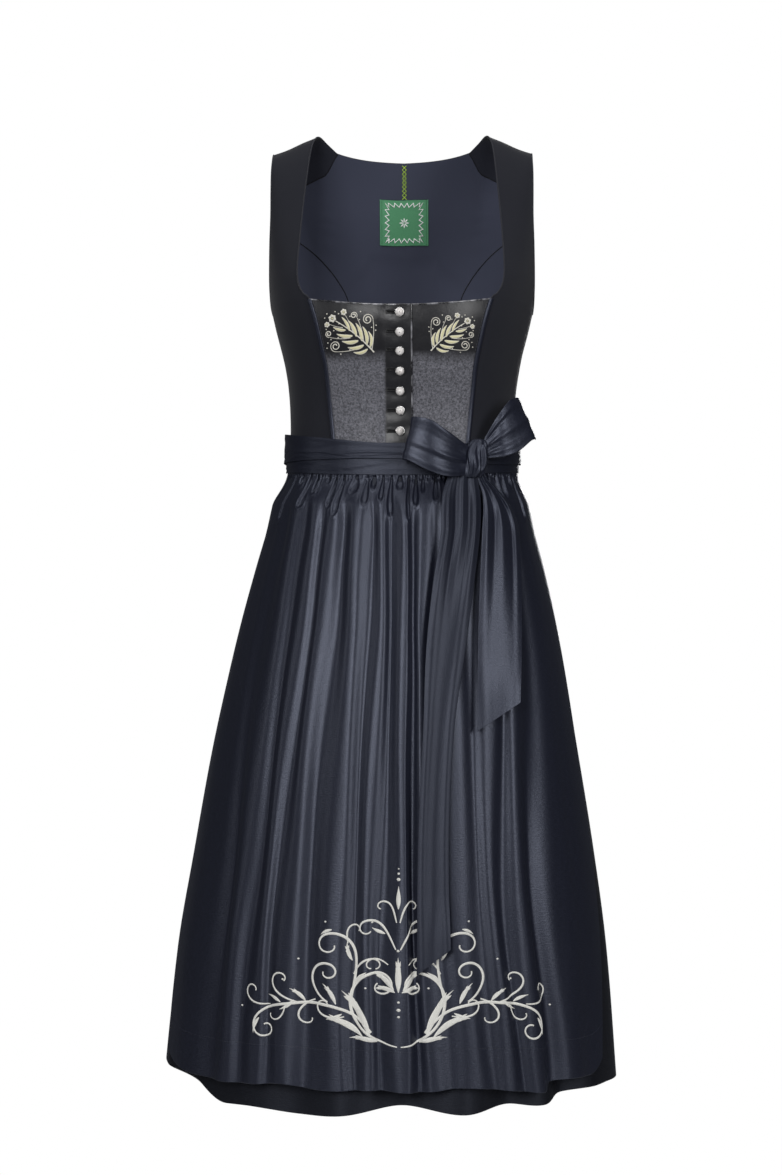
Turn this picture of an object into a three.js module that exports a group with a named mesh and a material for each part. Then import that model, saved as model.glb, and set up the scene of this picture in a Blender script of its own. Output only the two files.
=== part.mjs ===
// A midi dirndl, worn by no one but filled out as if worn: a bodice with wide shoulder straps and
// two leather fronts closed by ball buttons, a gathered skirt, and a gathered apron whose ties wrap
// the waist and end in a bow over the wearer's left hip.
//
// Millimetres, +Z up, the front faces -Y and the wearer's left is +X. The origin is the point
// between the two shoulder ridges, where the dress hangs on its wearer.
import * as THREE from "three";

// Walls of the cloth, and the gap left between two pieces that are sewn together.
const STRETCH_WALL = 1.8;
const LEATHER_WALL = 1.8;
const SATIN_WALL = 1.2;
const SEAM_GAP = 0.3;

// Heights of the seams and edges.
const WAIST_SEAM = -358;
const UNDERARM = -197;
const BAND_FOOT = -378;
const APRON_HEM = -1024;
const SKIRT_HEM = -1052;

// The general figure that the bodice is cut for, ring by ring: half of its width, and its depth in
// front and behind. The bust is where the front is deepest, and the waist is the narrowest ring.
const FIGURE = [
  { z: -362, half: 124.5, front: 94, back: 82 },
  { z: -330, half: 123.6, front: 93.5, back: 81 },
  { z: -300, half: 124.4, front: 97, back: 83 },
  { z: -270, half: 127, front: 107, back: 87 },
  { z: -235, half: 134.4, front: 119, back: 92 },
  { z: -202, half: 143, front: 125, back: 96 },
  { z: -160, half: 148.5, front: 120, back: 98 },
  { z: -110, half: 150, front: 110, back: 97 },
  { z: -50, half: 149, front: 96, back: 92 },
  { z: 30, half: 149, front: 90, back: 88 },
];
const FIGURE_SQUARENESS = 2.3;

// The shoulders: the ridge falls away outwards, and rises towards the neck inside the neck point.
const NECK_POINT = 95;
const RIDGE_FALL = 0.3;
const NECK_RISE = 1.35;
const NECK_BEND = 6;
const RIDGE_ROUND = 6.2;

// The skirt's outline, ring by ring, from the waist seam to below the hem. Its folds are measured
// from this shape, which leans a little towards the wearer's right.
const SKIRT_OUTLINE = [
  { z: -350, half: 130.5, middle: -1.5, front: 101, back: 88, squareness: 2.3 },
  { z: -378, half: 132.5, middle: -2, front: 103.5, back: 91, squareness: 2.3 },
  { z: -426, half: 145, middle: -3, front: 114, back: 108, squareness: 2.2 },
  { z: -482, half: 161, middle: -4, front: 127, back: 125, squareness: 2.1 },
  { z: -538, half: 175, middle: -5, front: 138, back: 138, squareness: 2 },
  { z: -594, half: 187, middle: -6, front: 147, back: 148, squareness: 2 },
  { z: -678, half: 203.5, middle: -8, front: 158, back: 160, squareness: 2 },
  { z: -790, half: 222, middle: -9, front: 170, back: 173, squareness: 2 },
  { z: -902, half: 238.5, middle: -11, front: 181, back: 184, squareness: 2 },
  { z: -1060, half: 252, middle: -13, front: 192, back: 195, squareness: 2 },
];

// The long folds of the apron's satin, from the wearer's right to the left. Each row is the line
// of one ridge or furrow: how far it lies from the centre line at four heights, and how far it
// stands out (or in, below zero) near the waist and at the hem. The first and last are the edges.
const FOLD_HEIGHTS = [-390, -538, -807, APRON_HEM];
const FOLDS = [
  { at: [-137.9, -179, -229.7, -254], upper: 0, hem: 0 },
  { at: [-128, -160, -200, -222], upper: 2, hem: 3 },
  { at: [-119, -148, -180, -203], upper: -2, hem: -3 },
  { at: [-110, -132, -166, -187], upper: 3, hem: 5 },
  { at: [-99, -117, -150, -170], upper: -3, hem: -5 },
  { at: [-90, -106, -138, -152], upper: 4, hem: 5 },
  { at: [-80, -94, -128, -139], upper: -4, hem: -5 },
  { at: [-70, -85, -112, -121], upper: 4, hem: 6 },
  { at: [-58, -68, -92, -100], upper: -4, hem: -6 },
  { at: [-43, -48, -62, -62], upper: 5, hem: 6 },
  { at: [-30, -31, -46, -45], upper: -6, hem: -6 },
  { at: [-20, -19, -32, -31], upper: 3, hem: 3 },
  { at: [-10, -8, -17, -18], upper: -6, hem: -7 },
  { at: [3, 6, 6, 8], upper: 5, hem: 6 },
  { at: [14, 14, 15, 23], upper: -4, hem: -6 },
  { at: [26, 23, 25, 38], upper: 3, hem: 4 },
  { at: [38, 35, 40, 57], upper: -4, hem: -6 },
  { at: [54, 55, 62, 80], upper: 4, hem: 5 },
  { at: [72, 77, 82, 103], upper: -4, hem: -5 },
  { at: [85, 94, 96, 118], upper: 4, hem: 5 },
  { at: [97, 108, 109, 133], upper: -3, hem: -6 },
  { at: [107, 120, 124, 148], upper: 3, hem: 7 },
  { at: [116, 133, 142, 163], upper: -3, hem: -7 },
  { at: [124, 148, 166, 184], upper: 2, hem: 4 },
  { at: [129, 159, 188, 201], upper: -1, hem: -2 },
  { at: [133.3, 169, 207.7, 215.7], upper: 0, hem: 0 },
];

// The gathers at the top of the apron and the skirt: their size, and how far down they run.
const APRON_GATHER = 1.8;
const SKIRT_GATHER = 1.2;
const BACK_GATHERS = 23;
const BACK_FOLDS = 11;
const BACK_FOLD_DEPTH = 8;
const GATHER_LENGTH = 70;

// The under-skirt's own lobes below the apron, as the distance that the hem stands out at x.
const HEM_LOBES = [
  { x: -270, out: 0 },
  { x: -215, out: 2 },
  { x: -165, out: 5 },
  { x: -110, out: 1 },
  { x: -60, out: 7 },
  { x: 5, out: -7 },
  { x: 72, out: 7 },
  { x: 125, out: -4 },
  { x: 165, out: 3 },
  { x: 190, out: -4 },
  { x: 260, out: 0 },
];

// The tie wrapped round the waist: its upper and lower edge at an angle from the front, in degrees.
const WAIST_TIE = [
  { angle: -270, top: -331, foot: -365 },
  { angle: -180, top: -330, foot: -368 },
  { angle: -90, top: -331, foot: -364 },
  { angle: -45, top: -338, foot: -363 },
  { angle: 0, top: -347, foot: -363 },
  { angle: 45, top: -345, foot: -368 },
  { angle: 90, top: -331, foot: -365 },
  { angle: 180, top: -330, foot: -368 },
  { angle: 270, top: -331, foot: -364 },
];
const BAND_OFF = 4.5;
const TIE_OFF = 6.2;

// The two ends of the tie that hang below the bow, as their edges at each height.
const LONG_END = [
  { z: -905, right: 19.3, left: 55 },
  { z: -765, right: 20.5, left: 53 },
  { z: -650, right: 25.6, left: 58.5 },
  { z: -567, right: 28.6, left: 70.5 },
  { z: -494, right: 36, left: 80 },
  { z: -443, right: 44, left: 86 },
  { z: -418, right: 44.5, left: 87 },
  { z: -400, right: 46, left: 86 },
  { z: -384.2, right: 51, left: 83 },
];
const SHORT_END = [
  { z: -654, right: 82.8, left: 129 },
  { z: -540, right: 84, left: 131 },
  { z: -443, right: 88, left: 129 },
  { z: -418, right: 89.5, left: 122 },
  { z: -400, right: 88.5, left: 109 },
  { z: -384.2, right: 83.4, left: 94 },
];

// The bow's loops, from the knot outwards: the corners of the folded ribbon, and how far forward
// its back and front layers lie.
const RIGHT_LOOP = [
  { topX: 72.4, topZ: -350, footX: 72.4, footZ: -381, back: 94.6, front: 99.4 },
  { topX: 51, topZ: -335, footX: 51, footZ: -383, back: 103, front: 116 },
  { topX: 33, topZ: -323, footX: 31, footZ: -377, back: 107, front: 122 },
  { topX: 19, topZ: -320, footX: 9, footZ: -366, back: 109, front: 120 },
];
const LEFT_LOOP = [
  { topX: 90.8, topZ: -341, footX: 93.1, footZ: -362, back: 82, front: 88 },
  { topX: 106, topZ: -315, footX: 112, footZ: -360, back: 75, front: 90 },
  { topX: 117, topZ: -300, footX: 129, footZ: -353, back: 66, front: 82 },
  { topX: 124, topZ: -296, footX: 143, footZ: -341, back: 55, front: 71 },
];
const KNOT = { x: 82.7, y: -93.9, z: -362, wide: 11, deep: 8.5, tall: 22, turn: 27 };

// The leather fronts: the height of each row of the side panel's seam at the centre line, and how
// far the two fronts lap over each other.
const LEATHER_CENTRE = [WAIST_SEAM, -340, -315, -290, -266, -243, -219, -200];
const LAP_OVER = 12.5;
const LAP_UNDER = -12;
const LAP_RISE = 2.1;
const CLOSURE = 75;

// The ball buttons, from the top, and the profile that each one is turned from.
const BUTTONS = { count: 7, top: -203.8, pitch: 21.3 };
const BUTTON_PROFILE = [
  { radius: 3.4, height: 0 },
  { radius: 5.1, height: 0.9 },
  { radius: 5.15, height: 1.9 },
  { radius: 4.5, height: 2.4 },
  { radius: 4.3, height: 3.7 },
  { radius: 3.1, height: 5.4 },
];
const BUTTON_TOP = 6.2;

const { sin, cos, abs, sqrt, exp, log, PI, sign, pow, min, max, asin, round } = Math;
const radians = THREE.MathUtils.degToRad;
const mix = THREE.MathUtils.lerp;
const ramp = (from, to, value) => THREE.MathUtils.smoothstep((value - from) / (to - from), 0, 1);

// A smooth value between the rows of a table, read along one of its columns.
function along(rows, key, column, value) {
  const n = rows.length;
  const ascending = rows[n - 1][key] > rows[0][key];
  const at = (i) => rows[ascending ? i : n - 1 - i];
  let i = 0;
  while (i < n - 2 && value > at(i + 1)[key]) i++;
  const slope = (k) => {
    const a = at(max(k - 1, 0));
    const b = at(min(k + 1, n - 1));
    return (b[column] - a[column]) / (b[key] - a[key]);
  };
  const width = at(i + 1)[key] - at(i)[key];
  const w = THREE.MathUtils.clamp((value - at(i)[key]) / width, 0, 1);
  const w2 = w * w;
  const w3 = w2 * w;
  return (
    (2 * w3 - 3 * w2 + 1) * at(i)[column] +
    (w3 - 2 * w2 + w) * width * slope(i) +
    (3 * w2 - 2 * w3) * at(i + 1)[column] +
    (w3 - w2) * width * slope(i + 1)
  );
}

// A smooth value between four numbers that belong to the four fold heights.
function atHeight(values, z) {
  const rows = FOLD_HEIGHTS.map((height, i) => ({ height, value: values[i] }));
  return along(rows, "height", "value", z);
}

// The height of the shoulder ridge above a point that lies x from the middle.
function ridge(x) {
  const soft = (v) => NECK_RISE * NECK_BEND * log(1 + exp(v / NECK_BEND));
  return -RIDGE_FALL * (abs(x) - NECK_POINT) + soft(NECK_POINT - 2 - abs(x)) - soft(-2);
}

const figure = (column, z) => along(FIGURE, "z", column, z);

// The angle from the front at which a ring of the figure is x wide, between 0 and 90 degrees.
function angleAt(x, z) {
  const share = min(abs(x) / figure("half", z), 1);
  return asin(pow(share, FIGURE_SQUARENESS / 2));
}

// The angle from the front (or the back) at which a ring of the figure is `deep` deep.
function angleIn(deep, z, side) {
  return Math.acos(pow(deep / figure(side, z), FIGURE_SQUARENESS / 2));
}

// How deep the figure is at (x, z): side is "front" or "back". Under the arm it follows the rings,
// and near the shoulder it rounds over the ridge.
function depth(x, z, side) {
  const share = min(abs(x) / figure("half", z), 1);
  const ring = figure(side, z) * pow(1 - pow(share, FIGURE_SQUARENESS), 1 / FIGURE_SQUARENESS);
  const shoulder = RIDGE_ROUND * sqrt(max(ridge(x) - z, 0));
  const both = 1 / pow(pow(ring + 1e-6, -4) + pow(shoulder + 1e-6, -4), 0.25);
  const low = side === "front" ? ramp(-90, -190, z) : ramp(-70, -190, z);
  return mix(both, ring, low);
}

// A point of the figure.
function onFigure(x, z, side) {
  const y = depth(x, z, side) * (side === "front" ? -1 : 1);
  return new THREE.Vector3(x, y, z);
}

// A wall of cloth. surface(s, t) is the body side of the cloth, with s from its foot to its top and
// t across it, from the wearer's right to the left as seen from outside. The wall stands out from
// there: its inner face lies `off` outside the surface. A closed wall runs round into itself, and
// an open one stops short of its edges by half of a seam's gap.
function wall(surface, sList, tList, { thick, off = 0, closed = false }) {
  const step = 1e-3;
  const inner = [];
  const outer = [];
  const [firstS, topS] = [sList[0], sList.at(-1)];
  const [firstT, endT] = [tList[0], tList.at(-1)];
  for (const s of sList)
    for (const t of tList) {
      const [t0, t1] = closed ? [t - step, t + step] : [max(t - step, firstT), min(t + step, endT)];
      const across = surface(s, t1).sub(surface(s, t0)).normalize();
      const up = surface(min(s + step, topS), t).sub(surface(max(s - step, firstS), t)).normalize();
      const normal = across.clone().cross(up).normalize();
      const sideways = up.clone().cross(normal);
      const upwards = normal.clone().cross(across);
      const p = surface(s, t);
      const half = SEAM_GAP / 2;
      if (!closed && t === firstT) p.addScaledVector(sideways, half);
      if (!closed && t === endT) p.addScaledVector(sideways, -half);
      if (s === firstS) p.addScaledVector(upwards, half);
      if (s === topS) p.addScaledVector(upwards, -half);
      const lift = typeof off === "function" ? off(s, t) : off;
      inner.push(p.clone().addScaledVector(normal, lift));
      outer.push(p.addScaledVector(normal, lift + thick));
    }
  return shell(inner, outer, sList.length, tList.length, closed);
}

// Joins an inner and an outer grid of points, and closes the edges between them.
function shell(inner, outer, rows, columns, closed) {
  const n = rows * columns;
  const positions = [...inner, ...outer].flatMap((p) => [p.x, p.y, p.z]);
  const index = [];
  const quad = (a, b, c, d) => index.push(a, b, c, a, c, d);
  const cells = closed ? columns : columns - 1;
  for (let i = 0; i < rows - 1; i++)
    for (let j = 0; j < cells; j++) {
      const k = (j + 1) % columns;
      const [a, b, c, d] = [
        i * columns + j,
        i * columns + k,
        (i + 1) * columns + k,
        (i + 1) * columns + j,
      ];
      quad(n + a, n + b, n + c, n + d);
      quad(d, c, b, a);
    }
  const top = (rows - 1) * columns;
  for (let j = 0; j < cells; j++) {
    const k = (j + 1) % columns;
    quad(j, k, n + k, n + j);
    quad(n + top + j, n + top + k, top + k, top + j);
  }
  if (!closed)
    for (let i = 0; i < rows - 1; i++) {
      const [a, b] = [i * columns, (i + 1) * columns];
      quad(a, n + a, n + b, b);
      quad(b + columns - 1, n + b + columns - 1, n + a + columns - 1, a + columns - 1);
    }
  const geometry = new THREE.BufferGeometry();
  geometry.setAttribute("position", new THREE.Float32BufferAttribute(positions, 3));
  geometry.setIndex(index);
  geometry.computeVertexNormals();
  return geometry;
}

// The same piece for the other side of the dress.
function mirrored(geometry) {
  const copy = geometry.clone();
  copy.scale(-1, 1, 1);
  const index = [...copy.index.array];
  for (let i = 0; i < index.length; i += 3)
    [index[i + 1], index[i + 2]] = [index[i + 2], index[i + 1]];
  copy.setIndex(index);
  copy.computeVertexNormals();
  return copy;
}

const steps = (count) => Array.from({ length: count + 1 }, (_, i) => i / count);

// Materials.
const finish = (color, roughness, metalness = 0) =>
  new THREE.MeshStandardMaterial({ color, roughness, metalness, side: THREE.DoubleSide });
const stretchCloth = finish(0x10121c, 0.85);
const leather = finish(0x1b1c21, 0.5);
const satin = finish(0x1c1f2d, 0.35);
const skirtCloth = finish(0x171923, 0.45);
const pearl = finish(0xe4dfd8, 0.25, 0.1);
const labelCloth = finish(0x1f5a3c, 0.8);

const dress = new THREE.Group();
function add(name, geometry, material, parent = dress) {
  const mesh = new THREE.Mesh(geometry, material);
  mesh.name = name;
  parent.add(mesh);
  return mesh;
}

// The bodice: each side is a front panel that runs on as the shoulder strap to a slanting seam
// behind the shoulder. Row by row from the waist: its inner edge is the leather's seam and then the
// neckline. Its outer edge is the side seam, with no depth, and then the armhole, which is given
// by its depth low down and by its width on the shoulder.
const FRONT_ROWS = [
  { inX: 71, inZ: WAIST_SEAM, outDeep: 0, outZ: WAIST_SEAM },
  { inX: 72.5, inZ: -339, outDeep: 0, outZ: -336 },
  { inX: 75, inZ: -313, outDeep: 0, outZ: -313 },
  { inX: 77.5, inZ: -287, outDeep: 0, outZ: -290 },
  { inX: 80, inZ: -262, outDeep: 0, outZ: -266 },
  { inX: 85, inZ: -237, outDeep: 0, outZ: -244 },
  { inX: 91, inZ: -211, outDeep: 0, outZ: -219 },
  { inX: 97, inZ: -191, outDeep: 0, outZ: UNDERARM },
  { inX: 104, inZ: -184, outDeep: 15, outZ: -190 },
  { inX: 109.5, inZ: -173, outDeep: 26, outZ: -178 },
  { inX: 111.5, inZ: -155, outDeep: 34, outZ: -158 },
  { inX: 110, inZ: -118, outDeep: 38, outZ: -122 },
  { inX: 107.5, inZ: -83, outX: 143.6, outZ: -92 },
  { inX: 104.5, inZ: -52, outX: 143.8, outZ: -66 },
  { inX: 102, inZ: -27, outX: 144, outZ: -42 },
  { inX: 99.5, inZ: -10.5, outX: 144, outZ: -27.5 },
  { inX: 97, inZ: -3, outX: 144, outZ: -19.7 },
];
const RIDGE_ROW = { inX: 94, outX: 144 };
const BEHIND_ROWS = [
  { inX: 90, inZ: 0.5, outX: 144, outZ: -20.6 },
  { inX: 83, inZ: -3.5, outX: 143.5, outZ: -32 },
  { inX: 75, inZ: -9.5, outX: 142, outZ: -62 },
];

// A row of the strap: x and z across it, evenly spread round the figure.
function acrossRow(row, side, t) {
  const start = angleAt(row.inX, row.inZ);
  const end = row.outX ? angleAt(row.outX, row.outZ) : angleIn(row.outDeep, row.outZ, side);
  const angle = mix(start, end, t);
  const flat = mix(row.inZ, row.outZ, t);
  const x = figure("half", flat) * pow(abs(sin(angle)), 2 / FIGURE_SQUARENESS);
  const outer = row.outX ?? 144;
  const drop = mix(ridge(row.inX) - row.inZ, ridge(outer) - row.outZ, t);
  const z = mix(flat, ridge(x) - drop, ramp(-175, -110, row.inZ));
  return onFigure(x, z, side);
}

function ridgePoint(t) {
  const x = mix(RIDGE_ROW.inX, RIDGE_ROW.outX, t);
  return new THREE.Vector3(x, 0, ridge(x));
}

const frontRowPoints = [
  ...FRONT_ROWS.map((row) => (t) => acrossRow(row, "front", t)),
  ridgePoint,
  ...BEHIND_ROWS.map((row) => (t) => acrossRow(row, "back", t)),
];

// A surface through rows of points, straight from one row to the next.
function throughRows(rowPoints) {
  const last = rowPoints.length - 1;
  return (s, t) => {
    const place = s * last;
    const i = min(Math.floor(place), last - 1);
    return rowPoints[i](t).lerp(rowPoints[i + 1](t), place - i);
  };
}

const stretchWall = { thick: STRETCH_WALL };
const frontPanel = wall(
  throughRows(frontRowPoints),
  steps(frontRowPoints.length - 1),
  steps(6),
  stretchWall,
);
add("front_panel_left", frontPanel, stretchCloth);
add("front_panel_right", mirrored(frontPanel), stretchCloth);

// The back: a centre panel between two curved seams, which start at the armholes and run down to
// the waist, and a side panel outside each of them.
const BACK_SEAM = [
  { x: 42, z: WAIST_SEAM },
  { x: 42, z: -330 },
  { x: 45, z: -280 },
  { x: 52, z: -220 },
  { x: 65, z: -170 },
  { x: 76, z: -148.5 },
  { x: 89, z: -132 },
  { x: 103, z: -118.5 },
  { x: 117, z: -108.5 },
  { x: 130, z: -101 },
  { x: 138.5, z: -96.5 },
];
const ARMHOLE_BEHIND = [
  { x: 141.3, z: -92 },
  { x: 142, z: -62 },
];
const NECK_CENTRE = -15;

// The back panel's top edge: the neckline, then the strap's seam down to the armhole.
const strapEnd = steps(6).map((t) => acrossRow(BEHIND_ROWS[2], "back", t));
function backTop(x) {
  const corner = strapEnd[0];
  if (x < corner.x) return mix(NECK_CENTRE, corner.z, pow(x / corner.x, 3));
  const i = min(strapEnd.findLastIndex((p) => p.x <= x + 1e-9), 5);
  const [a, b] = [strapEnd[i], strapEnd[i + 1]];
  return mix(a.z, b.z, (x - a.x) / (b.x - a.x));
}

const backEdge = [...BACK_SEAM, ...ARMHOLE_BEHIND];
function backRow(edge) {
  return (t) => {
    const rise = (edge.z - WAIST_SEAM) / (ARMHOLE_BEHIND[1].z - WAIST_SEAM);
    const x = edge.x * t;
    const z = mix(WAIST_SEAM, backTop(ARMHOLE_BEHIND[1].x * abs(t)), rise);
    const p = onFigure(abs(x), z, "back");
    p.x = -x;
    return p;
  };
}
const backColumns = [0, 0.16, 0.3, 0.42, ...strapEnd.map((p) => p.x / ARMHOLE_BEHIND[1].x)];
const backT = [...backColumns.slice(1).map((t) => -t).reverse(), ...backColumns];
const backPanel = wall(throughRows(backEdge.map(backRow)), steps(12), backT, stretchWall);
add("back_panel", backPanel, stretchCloth);

const SIDE_EDGE = [
  { deep: 0, z: WAIST_SEAM },
  { deep: 0, z: -336 },
  { deep: 0, z: -290 },
  { deep: 0, z: -244 },
  { deep: 0, z: UNDERARM },
  { deep: 15, z: -190 },
  { deep: 27, z: -178 },
  { deep: 35, z: -160 },
  { deep: 39, z: -138 },
  { deep: 40, z: -118 },
  { deep: 40.5, z: -102 },
];
const sideBackRows = BACK_SEAM.map((seam, i) => (t) => {
  const edge = SIDE_EDGE[i];
  const angle = mix(angleIn(edge.deep, edge.z, "back"), angleAt(seam.x, seam.z), t);
  const z = mix(edge.z, seam.z, t);
  const x = figure("half", z) * pow(abs(sin(angle)), 2 / FIGURE_SQUARENESS);
  return onFigure(x, z, "back");
});
const sideBack = wall(
  throughRows(sideBackRows),
  steps(sideBackRows.length - 1),
  steps(4),
  stretchWall,
);
add("side_back_left", sideBack, stretchCloth);
add("side_back_right", mirrored(sideBack), stretchCloth);

// The leather fronts, each sewn to a front panel. The one on the wearer's right laps over the
// other along the centre, where the buttons sit.
function leatherRow(i) {
  const { inX, inZ } = FRONT_ROWS[i];
  return (t) => {
    const x = t * CLOSURE + sign(t) * (inX - CLOSURE) * ramp(0.3, 1, abs(t));
    const z = mix(LEATHER_CENTRE[i], inZ, pow(min(abs(x / inX), 1), 2));
    const p = onFigure(abs(x), z, "front");
    p.x = x;
    return p;
  };
}
const leatherSurface = throughRows(LEATHER_CENTRE.map((_, i) => leatherRow(i)));
const leatherRows = steps(LEATHER_CENTRE.length - 1);
const overColumns = [-1, -0.78, -0.56, -0.36, -0.18, 0, LAP_OVER / CLOSURE];
const underColumns = [LAP_UNDER / CLOSURE, 0, 0.18, 0.38, 0.58, 0.78, 1];
const overLift = (s, t) => LAP_RISE * ramp(-0.36, -0.18, t);
const over = wall(leatherSurface, leatherRows, overColumns, { thick: LEATHER_WALL, off: overLift });
const under = wall(leatherSurface, leatherRows, underColumns, { thick: LEATHER_WALL });
add("leather_front_right", over, leather);
add("leather_front_left", under, leather);

// A narrow satin piping covers each of the leather's side seams.
const PIPING = { half: 2.2, thick: 1.1, off: STRETCH_WALL + SEAM_GAP };
const pipingRows = LEATHER_CENTRE.map((_, i) => (t) => {
  const { inX, inZ } = FRONT_ROWS[i];
  return onFigure(inX + PIPING.half * t, inZ, "front");
});
const piping = wall(throughRows(pipingRows), leatherRows, [-1, 0, 1], PIPING);
add("leather_piping_left", piping, satin);
add("leather_piping_right", mirrored(piping), satin);

// The ball buttons: each is turned from one profile, with its foot on the upper leather.
function turned(profile, tip, sides) {
  const positions = [0, 0, 0];
  for (const { radius, height } of profile)
    for (let k = 0; k < sides; k++) {
      const angle = (2 * PI * k) / sides;
      positions.push(radius * cos(angle), radius * sin(angle), height);
    }
  positions.push(0, 0, tip);
  const ring = (i, k) => 1 + i * sides + (k % sides);
  const last = profile.length - 1;
  const pole = 1 + profile.length * sides;
  const index = [];
  for (let k = 0; k < sides; k++) {
    index.push(0, ring(0, k + 1), ring(0, k));
    index.push(pole, ring(last, k), ring(last, k + 1));
    for (let i = 0; i < last; i++) {
      index.push(ring(i, k), ring(i, k + 1), ring(i + 1, k + 1));
      index.push(ring(i, k), ring(i + 1, k + 1), ring(i + 1, k));
    }
  }
  const geometry = new THREE.BufferGeometry();
  geometry.setAttribute("position", new THREE.Float32BufferAttribute(positions, 3));
  geometry.setIndex(index);
  geometry.computeVertexNormals();
  return geometry;
}

const buttonFoot = LAP_RISE + LEATHER_WALL + 0.8;
for (let i = 0; i < BUTTONS.count; i++) {
  const z = BUTTONS.top - i * BUTTONS.pitch;
  const slope = figure("front", z + 4) - figure("front", z - 4);
  const normal = new THREE.Vector3(0, -8, -slope).normalize();
  const turn = new THREE.Quaternion().setFromUnitVectors(new THREE.Vector3(0, 0, 1), normal);
  const geometry = turned(BUTTON_PROFILE, BUTTON_TOP, 12);
  geometry.applyQuaternion(turn);
  const foot = onFigure(0, z, "front").addScaledVector(normal, buttonFoot);
  geometry.translate(foot.x, foot.y, foot.z);
  add(`button_${i + 1}`, geometry, pearl);
}

// The woven label, sewn inside the back below the neckline.
const LABEL = { half: 28, top: -56, foot: -107, thick: 0.8, off: -1.4 };
const labelSurface = (s, t) => {
  const p = onFigure(abs(t), mix(LABEL.foot, LABEL.top, s), "back");
  p.x = -t;
  return p;
};
const labelColumns = [-LABEL.half, -LABEL.half / 2, 0, LABEL.half / 2, LABEL.half];
add("label", wall(labelSurface, steps(3), labelColumns, LABEL), labelCloth);

// A point on a ring at an angle from the front: angles grow towards the wearer's left. `out` moves
// it away from the ring.
function onRing({ half, front, back, middle = 0, squareness }, z, angle, out) {
  const [s, c] = [sin(angle), cos(angle)];
  const deep = c > 0 ? front : back;
  const x = half * sign(s) * pow(abs(s), 2 / squareness);
  const y = -deep * sign(c) * pow(abs(c), 2 / squareness);
  const away = new THREE.Vector3(s / half, -c / deep, 0).normalize();
  return new THREE.Vector3(middle + x, y, z).addScaledVector(away, out);
}

function figureRing(z) {
  const ring = { squareness: FIGURE_SQUARENESS };
  for (const column of ["half", "front", "back"]) ring[column] = figure(column, z);
  return ring;
}

function outlineRing(z) {
  const ring = {};
  for (const column of ["half", "middle", "front", "back", "squareness"])
    ring[column] = along(SKIRT_OUTLINE, "z", column, z);
  return ring;
}

// The apron's folds: the angle of each line at a height, and how far it stands out there. Between
// two lines the cloth curves from the ridge to the furrow.
const foldAngles = FOLDS.map(({ at }) =>
  at.map((x, i) => {
    const ring = outlineRing(FOLD_HEIGHTS[i]);
    const share = THREE.MathUtils.clamp((x - ring.middle) / ring.half, -1, 1);
    return sign(share) * asin(pow(abs(share), ring.squareness / 2));
  }),
);
const lastFold = FOLDS.length - 1;
function foldAt(t, z) {
  const i = THREE.MathUtils.clamp(Math.floor(t), 0, lastFold - 1);
  const f = t - i;
  const angle = mix(atHeight(foldAngles[i], z), atHeight(foldAngles[i + 1], z), f);
  const bend = (1 - cos(PI * f)) / 2;
  const low = ramp(-480, -900, z);
  const out = (row) => mix(row.upper, row.hem, low);
  return { angle, out: mix(out(FOLDS[i]), out(FOLDS[i + 1]), bend) };
}
const apronEdge = (z) => {
  const right = atHeight(foldAngles[0], z);
  return { right, left: atHeight(foldAngles[lastFold], z) };
};

// How near an angle is to the apron's edge at a height: 0 well inside, 1 from the edge on.
function nearEdge(angle, z, from, to) {
  const edge = apronEdge(z);
  const limit = angle < 0 ? -edge.right : edge.left;
  return ramp(limit - radians(from), limit - radians(to), abs(angle));
}

// The lower edge of the waistband, which dips in front, and how far a gather has faded at z.
const bandFoot = (angle) => BAND_FOOT + 3 - 6 * pow(max(cos(angle), 0), 2);
const gatherLeft = (z) => 1 - ramp(BAND_FOOT - 8, BAND_FOOT - GATHER_LENGTH, z);

function apronSurface(s, t) {
  const fold = foldAt(t, s);
  const corner = 15 * pow(max(0, 1 - min(t, lastFold - t)), 2);
  const dip = (bandFoot(fold.angle) - BAND_FOOT) * ramp(-430, BAND_FOOT, s);
  const z = s + dip + corner * ramp(-900, APRON_HEM, s);
  const gather = APRON_GATHER * cos(2 * PI * t) * gatherLeft(s);
  const top = onRing(figureRing(z), z, fold.angle, BAND_OFF + APRON_GATHER + gather);
  const lift = 3.6 * nearEdge(fold.angle, s, 24, 10) - SATIN_WALL;
  const out = lift + fold.out * ramp(BAND_FOOT - 6, -440, s) + gather;
  const hanging = onRing(outlineRing(s), z, fold.angle, out);
  return top.lerp(hanging, ramp(BAND_FOOT, BAND_FOOT - 34, s));
}
const APRON_LEVELS = [APRON_HEM, -960, -870, -770, -670, -580, -510, -460, -425, -402, -388];
APRON_LEVELS.push(BAND_FOOT);
const apronColumns = Array.from({ length: lastFold * 4 + 1 }, (_, i) => i / 4);
add("apron", wall(apronSurface, APRON_LEVELS, apronColumns, { thick: SATIN_WALL }), satin);

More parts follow.
